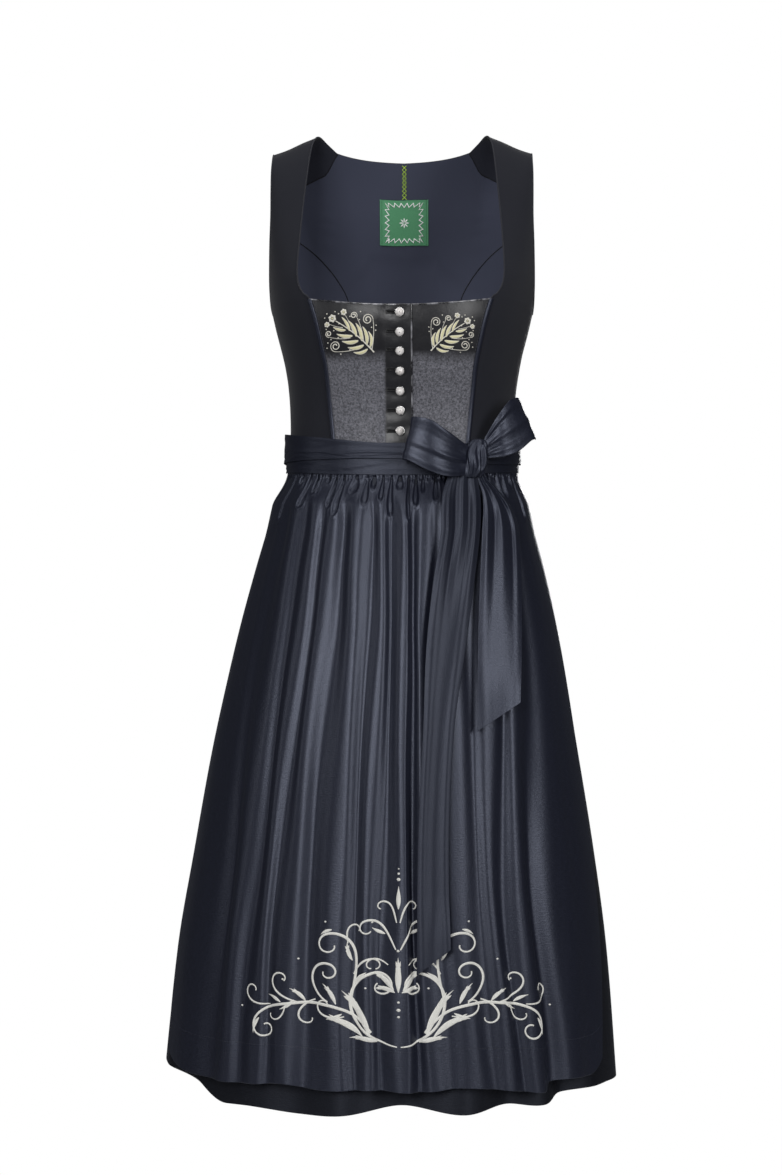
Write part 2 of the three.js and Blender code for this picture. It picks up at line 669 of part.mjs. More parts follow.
// The skirt hangs inside the apron in front, and makes the outline itself at the sides and behind.
function skirtSurface(s, degrees) {
  const angle = radians(degrees > 180 ? degrees - 360 : degrees);
  const ring = outlineRing(s);
  const behind = ramp(radians(92), radians(108), abs(angle));
  const x = ring.middle + ring.half * sin(angle);
  const turn = (degrees - 90) / 180;
  const gather = SKIRT_GATHER * cos(2 * PI * BACK_GATHERS * turn) * gatherLeft(s);
  const wave = cos(2 * PI * BACK_FOLDS * turn + 1.4 * sin(7 * turn) + 0.5 * sin(19 * turn));
  const folds = behind * BACK_FOLD_DEPTH * (wave - 0.3) * ramp(BAND_FOOT - 12, -560, s);
  const inFront = ramp(radians(88), radians(72), abs(angle));
  const lobes = inFront * along(HEM_LOBES, "x", "out", x) * ramp(-640, SKIRT_HEM, s);
  const covered = 1 - nearEdge(angle, s, 16, 0);
  const gap = mix(mix(7, 14, ramp(-390, -450, s)), 20, ramp(-600, -1000, s));
  const rise = 26 * ramp(-195, -262, x) + 8 * ramp(140, 245, x);
  const z = s + rise * ramp(-880, SKIRT_HEM, s) * ramp(PI, PI / 2, abs(angle));
  const top = onRing(figureRing(z), z, angle, SEAM_GAP + SKIRT_GATHER + gather);
  const hanging = onRing(ring, z, angle, gather + folds + lobes - covered * gap - SATIN_WALL);
  return top.lerp(hanging, ramp(BAND_FOOT - 1, -412, s));
}
const SKIRT_LEVELS = [SKIRT_HEM, -960, -850, -730, -610, -510, -450, -412, -390];
SKIRT_LEVELS.push(BAND_FOOT, WAIST_SEAM);
const degreesOver = (from, to, count) => steps(count).map((f) => mix(from, to, f));
const skirtOver = (columns) => wall(skirtSurface, SKIRT_LEVELS, columns, { thick: SATIN_WALL });
add("skirt_front", skirtOver(degreesOver(-90, 90, 40)), skirtCloth);
add("skirt_back", skirtOver(degreesOver(90, 270, 92)), skirtCloth);

// The waistband that the apron is gathered into, and the tie wrapped round over it.
function bandSurface(s, degrees) {
  const angle = radians(degrees);
  const foot = bandFoot(angle) + SEAM_GAP;
  const z = mix(foot, -346, s);
  return onRing(figureRing(z), z, angle, 0);
}
const bandColumns = degreesOver(-88, 88, 36);
const band = wall(bandSurface, [0, 0.5, 1], bandColumns, { thick: SATIN_WALL, off: BAND_OFF });
add("apron_waistband", band, satin);

function tieSurface(s, degrees) {
  const foot = along(WAIST_TIE, "angle", "foot", degrees);
  const z = mix(foot, along(WAIST_TIE, "angle", "top", degrees), s);
  return onRing(figureRing(z), z, radians(degrees), 0);
}
const tieColumns = degreesOver(-180, 180, 72).slice(0, -1);
const tieWall = { thick: SATIN_WALL, off: TIE_OFF, closed: true };
add("waist_tie", wall(tieSurface, [0, 0.5, 1], tieColumns, tieWall), satin);

// The ends of the tie hang over the apron's ridges.
function hangingEnd(rows, slant) {
  const surface = (s, t) => {
    const x = mix(along(rows, "z", "right", s), along(rows, "z", "left", s), t);
    const ring = outlineRing(s);
    const out = mix(6.2, 7.5, ramp(-385, -440, s)) + 1.2 * sin(9 * t) * ramp(-386, -420, s);
    ring.half += out;
    ring.front += out;
    const angle = asin(pow(abs(x - ring.middle) / ring.half, ring.squareness / 2));
    const z = s + slant * t * ramp(rows[0].z + 90, rows[0].z, s);
    return onRing(ring, z, angle, 0);
  };
  const levels = rows.map((row) => row.z);
  return wall(surface, levels, steps(6), { thick: SATIN_WALL });
}
add("tie_end_long", hangingEnd(LONG_END, 26), satin);
add("tie_end_short", hangingEnd(SHORT_END, 30), satin);

// A loop of the bow: the ribbon runs out from the knot, turns over and comes back in front.
function bowLoop(stations) {
  const end = stations.at(-1);
  const tipShift = (end.topX - stations[0].topX) * 0.1;
  const corner = (station, layer) => ({
    top: new THREE.Vector3(station.topX, -station[layer], station.topZ),
    foot: new THREE.Vector3(station.footX, -station[layer], station.footZ),
  });
  const tip = corner({ ...end, middle: (end.back + end.front) / 2 }, "middle");
  tip.top.x += tipShift;
  tip.foot.x += tipShift;
  const outwards = stations.map((station) => corner(station, "back"));
  const inwards = stations.map((station) => corner(station, "front")).reverse();
  const path = [...outwards, tip, ...inwards];
  if (tipShift > 0) path.reverse();
  const top = new THREE.CatmullRomCurve3(path.map((p) => p.top));
  const foot = new THREE.CatmullRomCurve3(path.map((p) => p.foot));
  const surface = (s, t) => foot.getPoint(t).lerp(top.getPoint(t), s);
  return wall(surface, steps(3), steps(16), { thick: SATIN_WALL });
}
add("bow_loop_right", bowLoop(RIGHT_LOOP), satin);
add("bow_loop_left", bowLoop(LEFT_LOOP), satin);

// The knot between them.
const knotRings = steps(8).slice(1, -1);
const KNOT_PROFILE = knotRings.map((f) => ({ radius: sin(PI * f), height: 1 - cos(PI * f) }));
const knot = turned(KNOT_PROFILE, 2, 14);
knot.translate(0, 0, -1);
knot.scale(KNOT.wide, KNOT.deep, KNOT.tall);
knot.rotateZ(radians(KNOT.turn));
knot.translate(KNOT.x, KNOT.y, KNOT.z);
add("bow_knot", knot, satin);

export default dress;
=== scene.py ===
import math

import bpy
import mathutils
import numpy as np
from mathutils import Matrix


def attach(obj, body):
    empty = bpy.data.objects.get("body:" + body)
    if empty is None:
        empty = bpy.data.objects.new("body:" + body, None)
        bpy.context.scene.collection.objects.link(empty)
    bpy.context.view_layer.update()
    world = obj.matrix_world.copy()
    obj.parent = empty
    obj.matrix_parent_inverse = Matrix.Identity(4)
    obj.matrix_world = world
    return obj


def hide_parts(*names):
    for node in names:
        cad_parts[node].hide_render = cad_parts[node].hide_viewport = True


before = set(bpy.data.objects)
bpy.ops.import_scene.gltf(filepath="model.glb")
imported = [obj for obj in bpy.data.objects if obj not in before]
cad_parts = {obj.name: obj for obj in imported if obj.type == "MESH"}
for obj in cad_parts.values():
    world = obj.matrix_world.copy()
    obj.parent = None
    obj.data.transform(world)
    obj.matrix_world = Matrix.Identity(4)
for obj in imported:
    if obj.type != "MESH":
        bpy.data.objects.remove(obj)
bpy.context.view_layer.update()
dice = np.random.default_rng(7)


# The bodice. Five panels of matt navy stretch cloth: two fronts that run on as the shoulder straps,
# two side backs and a centre back. They are sewn edge to edge, and the edges that stay open are
# turned in and edge-stitched.
WAIST_SEAM = -358
UNDERARM = -197
BACK_NECK = -15
STRAP_EDGE = 144
PANEL_OUT = 1.4
SQUARENESS = 2.3
FIGURE = {
    "z": [-362, -330, -300, -270, -235, -202, -160, -110, -50, 30],
    "half": [124.5, 123.6, 124.4, 127, 134.4, 143, 148.5, 150, 149, 149],
    "front": [94, 93.5, 97, 107, 119, 125, 120, 110, 96, 90],
    "back": [82, 81, 83, 87, 92, 96, 98, 97, 92, 88],
}


def along(table, key, column, value):
    """A smooth value between the entries of a table."""
    x, y = np.array(table[key], float), np.array(table[column], float)
    if x[0] > x[-1]:
        x, y = x[::-1], y[::-1]
    lower, upper = np.r_[0, 0:len(x) - 1], np.r_[1:len(x), len(x) - 1]
    slope = (y[upper] - y[lower]) / (x[upper] - x[lower])
    value = np.asarray(value, float)
    i = np.clip(np.searchsorted(x, value, side="left") - 1, 0, len(x) - 2)
    span = x[i + 1] - x[i]
    w = np.clip((value - x[i]) / span, 0, 1)
    h = 3 * w**2 - 2 * w**3
    return (
        y[i] * (1 - h)
        + y[i + 1] * h
        + (w**3 - 2 * w**2 + w) * span * slope[i]
        + (w**3 - w**2) * span * slope[i + 1]
    )


def ramp(start, end, value):
    """Rises softly from 0 at start to 1 at end."""
    w = np.clip((np.asarray(value, float) - start) / (end - start), 0, 1)
    return w * w * (3 - 2 * w)


def mix(a, b, w):
    return a + (b - a) * w


def hump(value, middle, width):
    """A soft bump, 1 at its middle and next to nothing at twice its width."""
    return np.exp(-(((value - middle) / width) ** 2))


def body(column, z):
    """The figure's half width or its depth, in front or at the back, at a height."""
    return along(FIGURE, "z", column, z)


def shoulder_ridge(x):
    """The height of the shoulder line, which is slightly crowned and rounds over towards the neck."""
    x = np.abs(x)
    rise = 1.35 * 6 * (np.log1p(np.exp((93 - x) / 6)) - np.log1p(np.exp(-2 / 6)))
    return -0.3 * (x - 95) + rise + 3.6 * hump(x, 108, 16) - 4.2 * hump(x, 87, 6)


def body_depth(x, z, side):
    """How far the cloth lies in front of or behind the middle: a rounded ring lower down, which
    closes over the shoulders to the ridge."""
    share = np.minimum(np.abs(x) / body("half", z), 1)
    ring = body(side, z) * (1 - share**SQUARENESS) ** (1 / SQUARENESS)
    shoulder = 6.2 * np.sqrt(np.maximum(shoulder_ridge(x) - z, 0))
    both = ((ring + 1e-6) ** -4 + (shoulder + 1e-6) ** -4) ** -0.25
    low = ramp(-90, -190, z) if side == "front" else ramp(-70, -190, z)
    return mix(both, ring, low)


def on_body(x, z, side):
    y = body_depth(x, z, side) * (-1 if side == "front" else 1)
    return np.stack(np.broadcast_arrays(x, y, z), -1)


def off_body(x, z, side, height):
    """A point on either half of the body, moved off it by a height: outwards in front, and inwards
    at the back."""
    step = 0.5
    point = on_body(np.abs(x), z, side)
    point[..., 0] = x
    across = on_body(np.abs(x + step), z, side) - on_body(np.abs(x - step), z, side)
    across[..., 0] = 2 * step
    up = on_body(np.abs(x), z + step, side) - on_body(np.abs(x), z - step, side)
    normal = np.cross(across, up)
    normal /= np.linalg.norm(normal, axis=-1, keepdims=True)
    return point + normal * np.broadcast_to(height, np.shape(x))[..., None]


# The angle round the body, from the middle of its front or back, at a place across or at a depth.
def angle_at(x, z):
    return np.arcsin(np.minimum(abs(x) / body("half", z), 1) ** (SQUARENESS / 2))


def angle_in(deep, z, side):
    return np.arccos((deep / body(side, z)) ** (SQUARENESS / 2))


def smooth_rows(rows, count, spacing=None):
    """A fine grid through rows of points: a curve runs through each column of them."""
    rows = np.array(rows, float)
    padded = np.concatenate([[2 * rows[0] - rows[1]], rows, [2 * rows[-1] - rows[-2]]])
    place = np.linspace(0, len(rows) - 1, count) if spacing is None else spacing
    i = np.minimum(place.astype(int), len(rows) - 2)
    w = (place - i).reshape(-1, *[1] * (rows.ndim - 1))
    p0, p1, p2, p3 = (padded[i + k] for k in range(4))
    return 0.5 * (
        2 * p1
        + (p2 - p0) * w
        + (2 * p0 - 5 * p1 + 4 * p2 - p3) * w**2
        + (3 * p1 - p0 - 3 * p2 + p3) * w**3
    )


def smooth_with_corner(rows, count, corner):
    """The same, with a corner in every column at one of the rows."""
    place = np.linspace(0, len(rows) - 1, count)
    low = smooth_rows(rows[: corner + 1], 0, place[place <= corner])
    return np.concatenate([low, smooth_rows(rows[corner:], 0, place[place > corner] - corner)])


def grid_normals(grid):
    normal = np.cross(np.gradient(grid, axis=1), np.gradient(grid, axis=0))
    return normal / (np.linalg.norm(normal, axis=-1, keepdims=True) + 1e-9)


def moved_out(grid, distance):
    """The grid moved off its face by one distance, or by one for each of its points."""
    distance = np.asarray(distance, float)
    if distance.ndim:
        distance = distance[..., None]
    return grid + grid_normals(grid) * distance


def with_edges(grid, axis, width):
    """Adds a line of points just inside both ends of a grid, which keeps its cut edges crisp."""
    lines = np.moveaxis(grid, axis, 0)
    ends = []
    for edge, inside in ((lines[0], lines[1]), (lines[-1], lines[-2])):
        size = np.linalg.norm(inside - edge, axis=-1, keepdims=True)
        ends.append(mix(edge, inside, np.minimum(width / (size + 1e-9), 0.5)))
    lines = np.concatenate([lines[:1], ends[0][None], lines[1:-1], ends[1][None], lines[-1:]])
    return np.moveaxis(lines, 0, axis)


def put_on(name, mesh, materials, nodes=()):
    """Hangs a finished mesh on the dress as one visible piece."""
    for material in materials:
        mesh.materials.append(material)
    mesh.shade_smooth()
    piece = bpy.data.objects.new(name, mesh)
    bpy.context.collection.objects.link(piece)
    if nodes:
        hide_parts(*nodes)
    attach(piece, "root")
    return piece


def sew(name, grid, thick, materials, closed, nodes):
    """A piece of cloth from a grid of points on its outer face, in millimetres, from its foot to
    its top and from the wearer's right to the left. Its cloth is as thick as `thick`."""
    if thick:
        grid = with_edges(grid, 0, 0.5)
        if not closed:
            grid = with_edges(grid, 1, 0.5)
    rows, columns = grid.shape[:2]
    mesh = bpy.data.meshes.new(name)
    cells = columns if closed else columns - 1
    i, j = np.meshgrid(np.arange(rows - 1), np.arange(cells), indexing="ij")
    k = (j + 1) % columns
    faces = np.stack([i * columns + j, i * columns + k, (i + 1) * columns + k, (i + 1) * columns + j], -1)
    mesh.from_pydata((grid.reshape(-1, 3) / 1000).tolist(), [], faces.reshape(-1, 4).tolist())
    u = np.concatenate([[0], np.cumsum(np.linalg.norm(np.diff(grid, axis=1), axis=-1).mean(0))]) / 1000
    v = np.concatenate([[0], np.cumsum(np.linalg.norm(np.diff(grid, axis=0), axis=-1).mean(1))]) / 1000
    if closed:
        u = np.append(u, u[-1] + np.linalg.norm(grid[:, 0] - grid[:, -1], axis=-1).mean() / 1000)
    uv = np.stack([u[np.stack([j, j + 1, j + 1, j], -1)], v[np.stack([i, i, i + 1, i + 1], -1)]], -1)
    mesh.uv_layers.new(name="cloth").data.foreach_set("uv", uv.reshape(-1))
    piece = put_on(name, mesh, materials, nodes)
    if thick:
        wall = piece.modifiers.new("cloth thickness", "SOLIDIFY")
        wall.thickness = thick / 1000
        wall.offset = -1
        wall.use_even_offset = False
        wall.material_offset = len(materials) - 1
        wall.use_rim = True
    return piece


def declare_cut(grid, closed):
    """Works out the piece's widest row and its longest column, in metres, and does nothing more with them.
    A strip that shows less than a centimetre is cut a centimetre wide.
    """
    ring = np.concatenate([grid, grid[:, :1]], 1) if closed else grid
    wide = np.linalg.norm(np.diff(ring, axis=1), axis=-1).sum(1).max() / 1000
    tall = np.linalg.norm(np.diff(ring, axis=0), axis=-1).sum(0).max() / 1000


def sew_sheet(node, kind, grid, thick, materials, closed=False):
    """The visible cloth of one sewn piece, with what it was cut to worked out but not kept."""
    piece = sew(f"{node}_{kind}", grid, thick, materials, closed, [node])
    declare_cut(grid, closed)


class Finish:
    """A material and the nodes that are wired into it."""

    def __init__(self, name, color, roughness, **sockets):
        self.material = bpy.data.materials.new(name)
        self.material.use_nodes = True
        self.nodes = self.material.node_tree.nodes
        self.links = self.material.node_tree.links
        self.shader = self.nodes["Principled BSDF"]
        self.shader.inputs["Base Color"].default_value = (*color, 1)
        self.shader.inputs["Roughness"].default_value = roughness
        self.material.diffuse_color = (*color, 1)
        for socket, value in sockets.items():
            self.shader.inputs[socket.replace("_", " ")].default_value = value
        self.bump = None

    def node(self, kind, inputs=(), **settings):
        node = self.nodes.new(kind)
        for key, value in settings.items():
            setattr(node, key, value)
        for key, value in dict(inputs).items():
            if isinstance(value, bpy.types.NodeSocket):
                self.links.new(value, node.inputs[key])
            else:
                node.inputs[key].default_value = value
        return node

    def cloth_place(self, scale=(1, 1, 1)):
        place = self.node("ShaderNodeUVMap", uv_map="cloth").outputs["UV"]
        return self.node("ShaderNodeMapping", {"Vector": place, "Scale": scale}).outputs["Vector"]

    def object_place(self, scale=(1, 1, 1)):
        place = self.node("ShaderNodeTexCoord").outputs["Object"]
        return self.node("ShaderNodeMapping", {"Vector": place, "Scale": scale}).outputs["Vector"]

    def noise(self, place, scale, detail=2, roughness=0.5):
        """Soft random mottling. More detail and roughness make it finer and harsher."""
        inputs = {"Vector": place, "Scale": scale, "Detail": detail, "Roughness": roughness}
        return self.node("ShaderNodeTexNoise", inputs).outputs["Fac"]

    def spread(self, value, low_at, high_at):
        """A number that runs from 0 to 1 while the value runs between two others."""
        inputs = {"Value": value, "From Min": low_at, "From Max": high_at}
        return self.node("ShaderNodeMapRange", inputs).outputs[0]

    def math(self, operation, first, second):
        return self.node("ShaderNodeMath", {0: first, 1: second}, operation=operation).outputs[0]

    def two_tone(self, factor, low, high):
        low, high = ((*tone, 1) if isinstance(tone, tuple) else tone for tone in (low, high))
        return self.node("ShaderNodeMix", {0: factor, 6: low, 7: high}, data_type="RGBA").outputs[2]

    def blend(self, factor, low, high, low_at=0.0, high_at=1.0):
        """Colours the cloth between two tones."""
        tone = self.two_tone(self.spread(factor, low_at, high_at), low, high)
        self.links.new(tone, self.shader.inputs["Base Color"])

    def relief(self, height, strength, distance):
        """Raises the surface slightly, on top of what was raised before."""
        inputs = {"Height": height, "Strength": strength, "Distance": distance}
        if self.bump:
            inputs["Normal"] = self.bump.outputs["Normal"]
        self.bump = self.node("ShaderNodeBump", inputs)
        self.links.new(self.bump.outputs["Normal"], self.shader.inputs["Normal"])


def grained(name, color, roughness, scale, strength, distance=0.001, detail=2, **sockets):
    """A plain material with a fine uneven surface."""
    finish = Finish(name, color, roughness, **sockets)
    finish.relief(finish.noise(finish.object_place(), scale, detail), strength, distance)
    return finish


def stretch_cloth(name, color, lighter):
    """Matt cloth with a fine grain."""
    cloth = Finish(name, color, 0.82, Sheen_Weight=0.12, Sheen_Roughness=0.5, Specular_IOR_Level=0.25)
    grain = cloth.noise(cloth.cloth_place((1, 1.6, 1)), 1400, 3, 0.6)
    cloth.blend(grain, color, lighter, low_at=0.3, high_at=0.75)
    cloth.relief(grain, 0.22, 0.0006)
    cloth.relief(cloth.noise(cloth.cloth_place(), 60, 2), 0.06, 0.002)
    return cloth.material


outer_cloth = stretch_cloth("stretch cloth, face", (0.0088, 0.0095, 0.0150), (0.0150, 0.0160, 0.0235))
# The back panels' inner face is the same cloth painted several times lighter: painted light, for the light
# that falls inside the open back.
inner_cloth_painted_light = stretch_cloth("stretch cloth, back, painted lighter", (0.038, 0.043, 0.070), (0.056, 0.062, 0.096))
facing_cloth = stretch_cloth("stretch cloth, strap facing", (0.012, 0.013, 0.022), (0.019, 0.021, 0.033))

# One row for each line across the front panel, from the waist to the shoulder ridge and on behind it:
# its inner edge's place and height, its outer edge's height, and that edge's depth under the arm or
# its width on the shoulder.
front_rows = [
    (71, WAIST_SEAM, WAIST_SEAM, "deep", 0),
    (72.5, -339, -336, "deep", 0),
    (75, -313, -313, "deep", 0),
    (77.5, -287, -290, "deep", 0),
    (80, -262, -266, "deep", 0),
    (85, -237, -244, "deep", 0),
    (91, -211, -219, "deep", 0),
    (97, -191, UNDERARM, "deep", 0),
    (104, -184, -190, "deep", 15),
    (109.5, -173, -178, "deep", 26),
    (111.5, -155, -158, "deep", 34),
    (110, -118, -122, "deep", 38),
    (107.5, -83, -92, "wide", 143.6),
    (104.5, -52, -66, "wide", 143.8),
    (102, -27, -42, "wide", STRAP_EDGE),
    (99.5, -10.5, -27.5, "wide", STRAP_EDGE),
    (97, -3, -19.7, "wide", STRAP_EDGE),
]
behind_rows = [
    (90, 0.5, -20.6, "wide", STRAP_EDGE),
    (83, -3.5, -32, "wide", 143.5),
    (75, -9.5, -62, "wide", 142),
]


def strap_row(row, side, t):
    """A line across the front panel or strap, from its inner edge to its outer edge."""
    in_x, in_z, out_z, how, out = row
    end = angle_at(out, out_z) if how == "wide" else angle_in(out, out_z, side)
    angle = mix(angle_at(in_x, in_z), end, t)
    flat = mix(in_z, out_z, t)
    x = body("half", flat) * np.sin(angle) ** (2 / SQUARENESS)
    out_x = out if how == "wide" else STRAP_EDGE
    drop = mix(shoulder_ridge(in_x) - in_z, shoulder_ridge(out_x) - out_z, t)
    z = mix(flat, shoulder_ridge(x) - drop, ramp(-175, -110, in_z))
    return on_body(x, z, side)


across = np.linspace(0, 1, 25)
ridge_x = mix(94, STRAP_EDGE, across)
ridge_row = np.stack([ridge_x, 0 * ridge_x, shoulder_ridge(ridge_x)], -1)
front_lines = [strap_row(row, "front", across) for row in front_rows]
front_lines += [ridge_row] + [strap_row(row, "back", across) for row in behind_rows]
cornered = smooth_with_corner(front_lines, 140, 7)
front_panel = moved_out(mix(smooth_rows(front_lines, 140), cornered, across[:, None]), PANEL_OUT)

# The side back lies between the curved back seam, given as places across and heights, and the side
# seam and armhole, given as depths and heights.
back_seam = [
    (42, WAIST_SEAM), (42, -330), (45, -280), (52, -220), (65, -170), (76, -148.5),
    (89, -132), (103, -118.5), (117, -108.5), (130, -100.5), (141.3, -92),
]
side_edge = [
    (0, WAIST_SEAM), (0, -336), (0, -290), (0, -244), (0, UNDERARM), (15, -190),
    (27, -178), (35, -160), (39, -138), (40.2, -116), (40.8, -97),
]
side_lines = []
for (seam_x, seam_z), (deep, edge_z) in zip(back_seam, side_edge):
    t = np.linspace(0, 1, 17)
    angle = mix(angle_in(deep, edge_z, "back"), angle_at(seam_x, seam_z), t)
    z = mix(edge_z, seam_z, t)
    x = body("half", z) * np.sin(angle) ** (2 / SQUARENESS)
    side_lines.append(on_body(x, z, "back"))
cornered = smooth_with_corner(side_lines, 70, 4)
side_back = moved_out(mix(cornered, smooth_rows(side_lines, 70), t[:, None]), PANEL_OUT)

# The centre back meets the straps' ends in a seam, and its neckline dips between them.
strap_end = strap_row(behind_rows[-1], "back", np.linspace(0, 1, 60))
corner = strap_end[0]
back_edge = back_seam + [(141.7, -77), (142, -62)]
end_x, end_z = back_edge[-1]
t = np.linspace(-1, 1, 81)
top_x = end_x * np.abs(t)
neck = mix(BACK_NECK, corner[2], (top_x / corner[0]) ** 3)
seam = np.interp(top_x, strap_end[:, 0], strap_end[:, 2])
top = np.where(top_x < corner[0], neck, seam)
back_lines = []
for edge_x, edge_z in back_edge:
    rise = (edge_z - WAIST_SEAM) / (end_z - WAIST_SEAM)
    line = on_body(np.abs(edge_x * t), mix(WAIST_SEAM, top, rise), "back")
    line[:, 0] = -edge_x * t
    back_lines.append(line)
back_panel = moved_out(smooth_rows(back_lines, 110), PANEL_OUT)


def other_side(grid):
    return (grid * [-1, 1, 1])[:, ::-1]


for name, grid, sides, inside in (
    ("front_panel", front_panel, ("_left", "_right"), facing_cloth),
    ("side_back", side_back, ("_left", "_right"), inner_cloth_painted_light),
    ("back_panel", back_panel, ("",), inner_cloth_painted_light),
):
    for side in sides:
        shape = other_side(grid) if side == "_right" else grid
        sew_sheet(name + side, "cloth", shape, 1.3, [outer_cloth, inside])


# The neckline and the armholes are finished with a fine turned edge, painted lighter than the panels
# as a painted highlight along a thin line. Inside the back, the seams are pressed flat and show as dark
# lines.
def threads(lines, radius, material, closed=False):
    """Round threads, edges or stems in one object, through points in millimetres."""
    curve = bpy.data.curves.new("threads", "CURVE")
    curve.dimensions = "3D"
    curve.bevel_depth = 1 / 1000
    curve.bevel_resolution = 1
    curve.use_fill_caps = True
    curve.materials.append(material)
    for line in lines:
        spline = curve.splines.new("POLY")
        spline.points.add(len(line) - 1)
        points = np.c_[np.asarray(line, float) / 1000, np.ones(len(line))]
        spline.points.foreach_set("co", points.reshape(-1))
        spline.points.foreach_set("radius", np.broadcast_to(radius, len(line)).astype(float))
        spline.use_cyclic_u = closed
        spline.use_smooth = True
    holder = bpy.data.objects.new("threads", curve)
    bpy.context.collection.objects.link(holder)
    return holder


def join_as_mesh(name, holders):
    """Turns threads into one mesh piece."""
    bpy.context.view_layer.update()
    graph = bpy.context.evaluated_depsgraph_get()
    positions, faces, count, materials, slots = [], [], 0, [], []
    for holder in holders:
        mesh = bpy.data.meshes.new_from_object(holder.evaluated_get(graph))
        co = np.zeros(len(mesh.vertices) * 3)
        mesh.vertices.foreach_get("co", co)
        positions.append(co.reshape(-1, 3))
        data = holder.data
        material = data.materials[0]
        if material not in materials:
            materials.append(material)
        for face in mesh.polygons:
            faces.append([v + count for v in face.vertices])
            slots.append(materials.index(material))
        count += len(mesh.vertices)
        bpy.data.meshes.remove(mesh)
        bpy.data.objects.remove(holder)
        bpy.data.curves.remove(data)
    joined = bpy.data.meshes.new(name)
    joined.from_pydata(np.concatenate(positions).tolist(), [], faces)
    put_on(name, joined, materials)
    joined.polygons.foreach_set("material_index", slots)


# The rows of the panels' grids where the openings begin, and the columns of the back's neckline.
FRONT_OPENS, BACK_OPENS, SIDE_OPENS, NECK_FROM, NECK_TO = 49, 91, 27, 19, 62
# The turned edge's cloth is painted about twice as light as the panels: a painted highlight.
edge_highlight_cloth = stretch_cloth("turned edge", (0.020, 0.021, 0.028), (0.034, 0.035, 0.045))
front_armhole, front_neck = front_panel[FRONT_OPENS:, -1], front_panel[FRONT_OPENS:-1, 0]
back_armhole, side_armhole = back_panel[-2:BACK_OPENS:-1, 0], side_back[-2:SIDE_OPENS:-1, 0]
armhole = np.concatenate([front_armhole, back_armhole, side_armhole])
back_neck, right_neck = back_panel[-1, NECK_FROM:NECK_TO], (front_neck * [-1, 1, 1])[::-1]
neckline = np.concatenate([front_neck, back_neck, right_neck])
join_as_mesh("turned_edges", [
    threads([neckline], 0.75, edge_highlight_cloth),
    threads([armhole, armhole * [-1, 1, 1]], 0.7, edge_highlight_cloth, closed=True),
])
seam_cloth = stretch_cloth("pressed seam", (0.0025, 0.0027, 0.0045), (0.0040, 0.0043, 0.0070))
inside = moved_out(back_panel, -1.35) - [0, 0, 0.5]
below, end = inside[: BACK_OPENS - 1], inside[-1]
seams = [below[:, 0], below[:, -1], end[1 : NECK_FROM + 1], end[NECK_TO - 1 : -1]]
join_as_mesh("inside_seams", [threads(seams, 0.55, seam_cloth)])


# The leather fronts, each sewn to a front panel. The upper part is smooth leather, the lower part is
# napped and mottled, and the buttoned strip is smooth all the way down. The front on the wearer's
# right laps over the other, the top edges are rolled, and a topstitch runs beside the side seams.
LEATHER_CENTRE = [WAIST_SEAM, -340, -315, -290, -266, -243, -219, -200]
CLOSURE = 75
LAP_EDGE, UNDERLAP_EDGE = 12.5, -12
LAP_RISE = 2.1
LEATHER_FACE = 1.85
BUTTON_STEP = 20.8
BUTTON_Z = [-208.2, -228, -247.2, -267.9, -289, -310.6, -333.2]


def front_x(t, seam_x):
    """A place across the leather, from -1 at the right seam to 1 at the left one."""
    return t * CLOSURE + np.sign(t) * (seam_x - CLOSURE) * ramp(0.3, 1, np.abs(t))


def leather_grid(columns):
    lines = []
    for centre_z, (seam_x, seam_z, *_) in zip(LEATHER_CENTRE, front_rows):
        x = front_x(columns, seam_x)
        z = mix(centre_z, seam_z, np.minimum(np.abs(x / seam_x), 1) ** 2)
        line = on_body(np.abs(x), z, "front")
        line[:, 0] = x
        lines.append(line)
    return smooth_rows(lines, 120)


def pucker(grid):
    """The soft bumps that the buttons pull into the leather between them."""
    x, z = grid[..., 0], grid[..., 2]
    between = 0.5 - 0.5 * np.cos(2 * np.pi * (z - BUTTON_Z[0]) / BUTTON_STEP)
    pull = np.sin(z / 5.1 + x / 7) * np.sin(z / 11 - x / 4.5) * hump(np.abs(x), 17, 9)
    return 0.95 * between * hump(x, -3, 11) + 0.34 * pull


def leather_finish(name, right_side):
    """Smooth above and on the buttoned strip, napped and mottled below, with a wavering border."""
    hide = Finish(name, (0.0165, 0.0165, 0.019), 0.36, Coat_Weight=0.12, Coat_Roughness=0.3)
    place = hide.object_place()
    split = hide.node("ShaderNodeSeparateXYZ", {0: place})
    wobble = hide.math("MULTIPLY", hide.noise(place, 45, 2), 0.010)
    low = hide.spread(hide.math("ADD", split.outputs["Z"], wobble), -0.243, -0.256)
    strip_edge = (-0.0145, -0.0175) if right_side else (0.010, 0.0115)
    napped = hide.math("MULTIPLY", low, hide.spread(split.outputs["X"], *strip_edge))
    streaks = hide.noise(hide.object_place((1, 1, 1.7)), 720, 4, 0.7)
    clouds = hide.noise(place, 420, 3, 0.6)
    mottle = hide.math("MULTIPLY", streaks, clouds)
    nap_tone = hide.two_tone(hide.spread(mottle, 0.16, 0.36), (0.052, 0.053, 0.063), (0.215, 0.216, 0.250))
    smooth_tone = hide.two_tone(clouds, (0.0105, 0.0105, 0.0125), (0.024, 0.024, 0.028))
    hide.links.new(hide.two_tone(napped, smooth_tone, nap_tone), hide.shader.inputs["Base Color"])
    rough = hide.node("ShaderNodeMapRange", {"Value": napped, "To Min": 0.36, "To Max": 0.75})
    hide.links.new(rough.outputs[0], hide.shader.inputs["Roughness"])
    grain = hide.node("ShaderNodeTexVoronoi", {"Vector": place, "Scale": 900}).outputs["Distance"]
    hide.relief(grain, 0.10, 0.0004)
    hide.relief(hide.noise(place, 95, 3), 0.30, 0.0016)
    hide.relief(mottle, 0.25, 0.0008)
    return hide.material


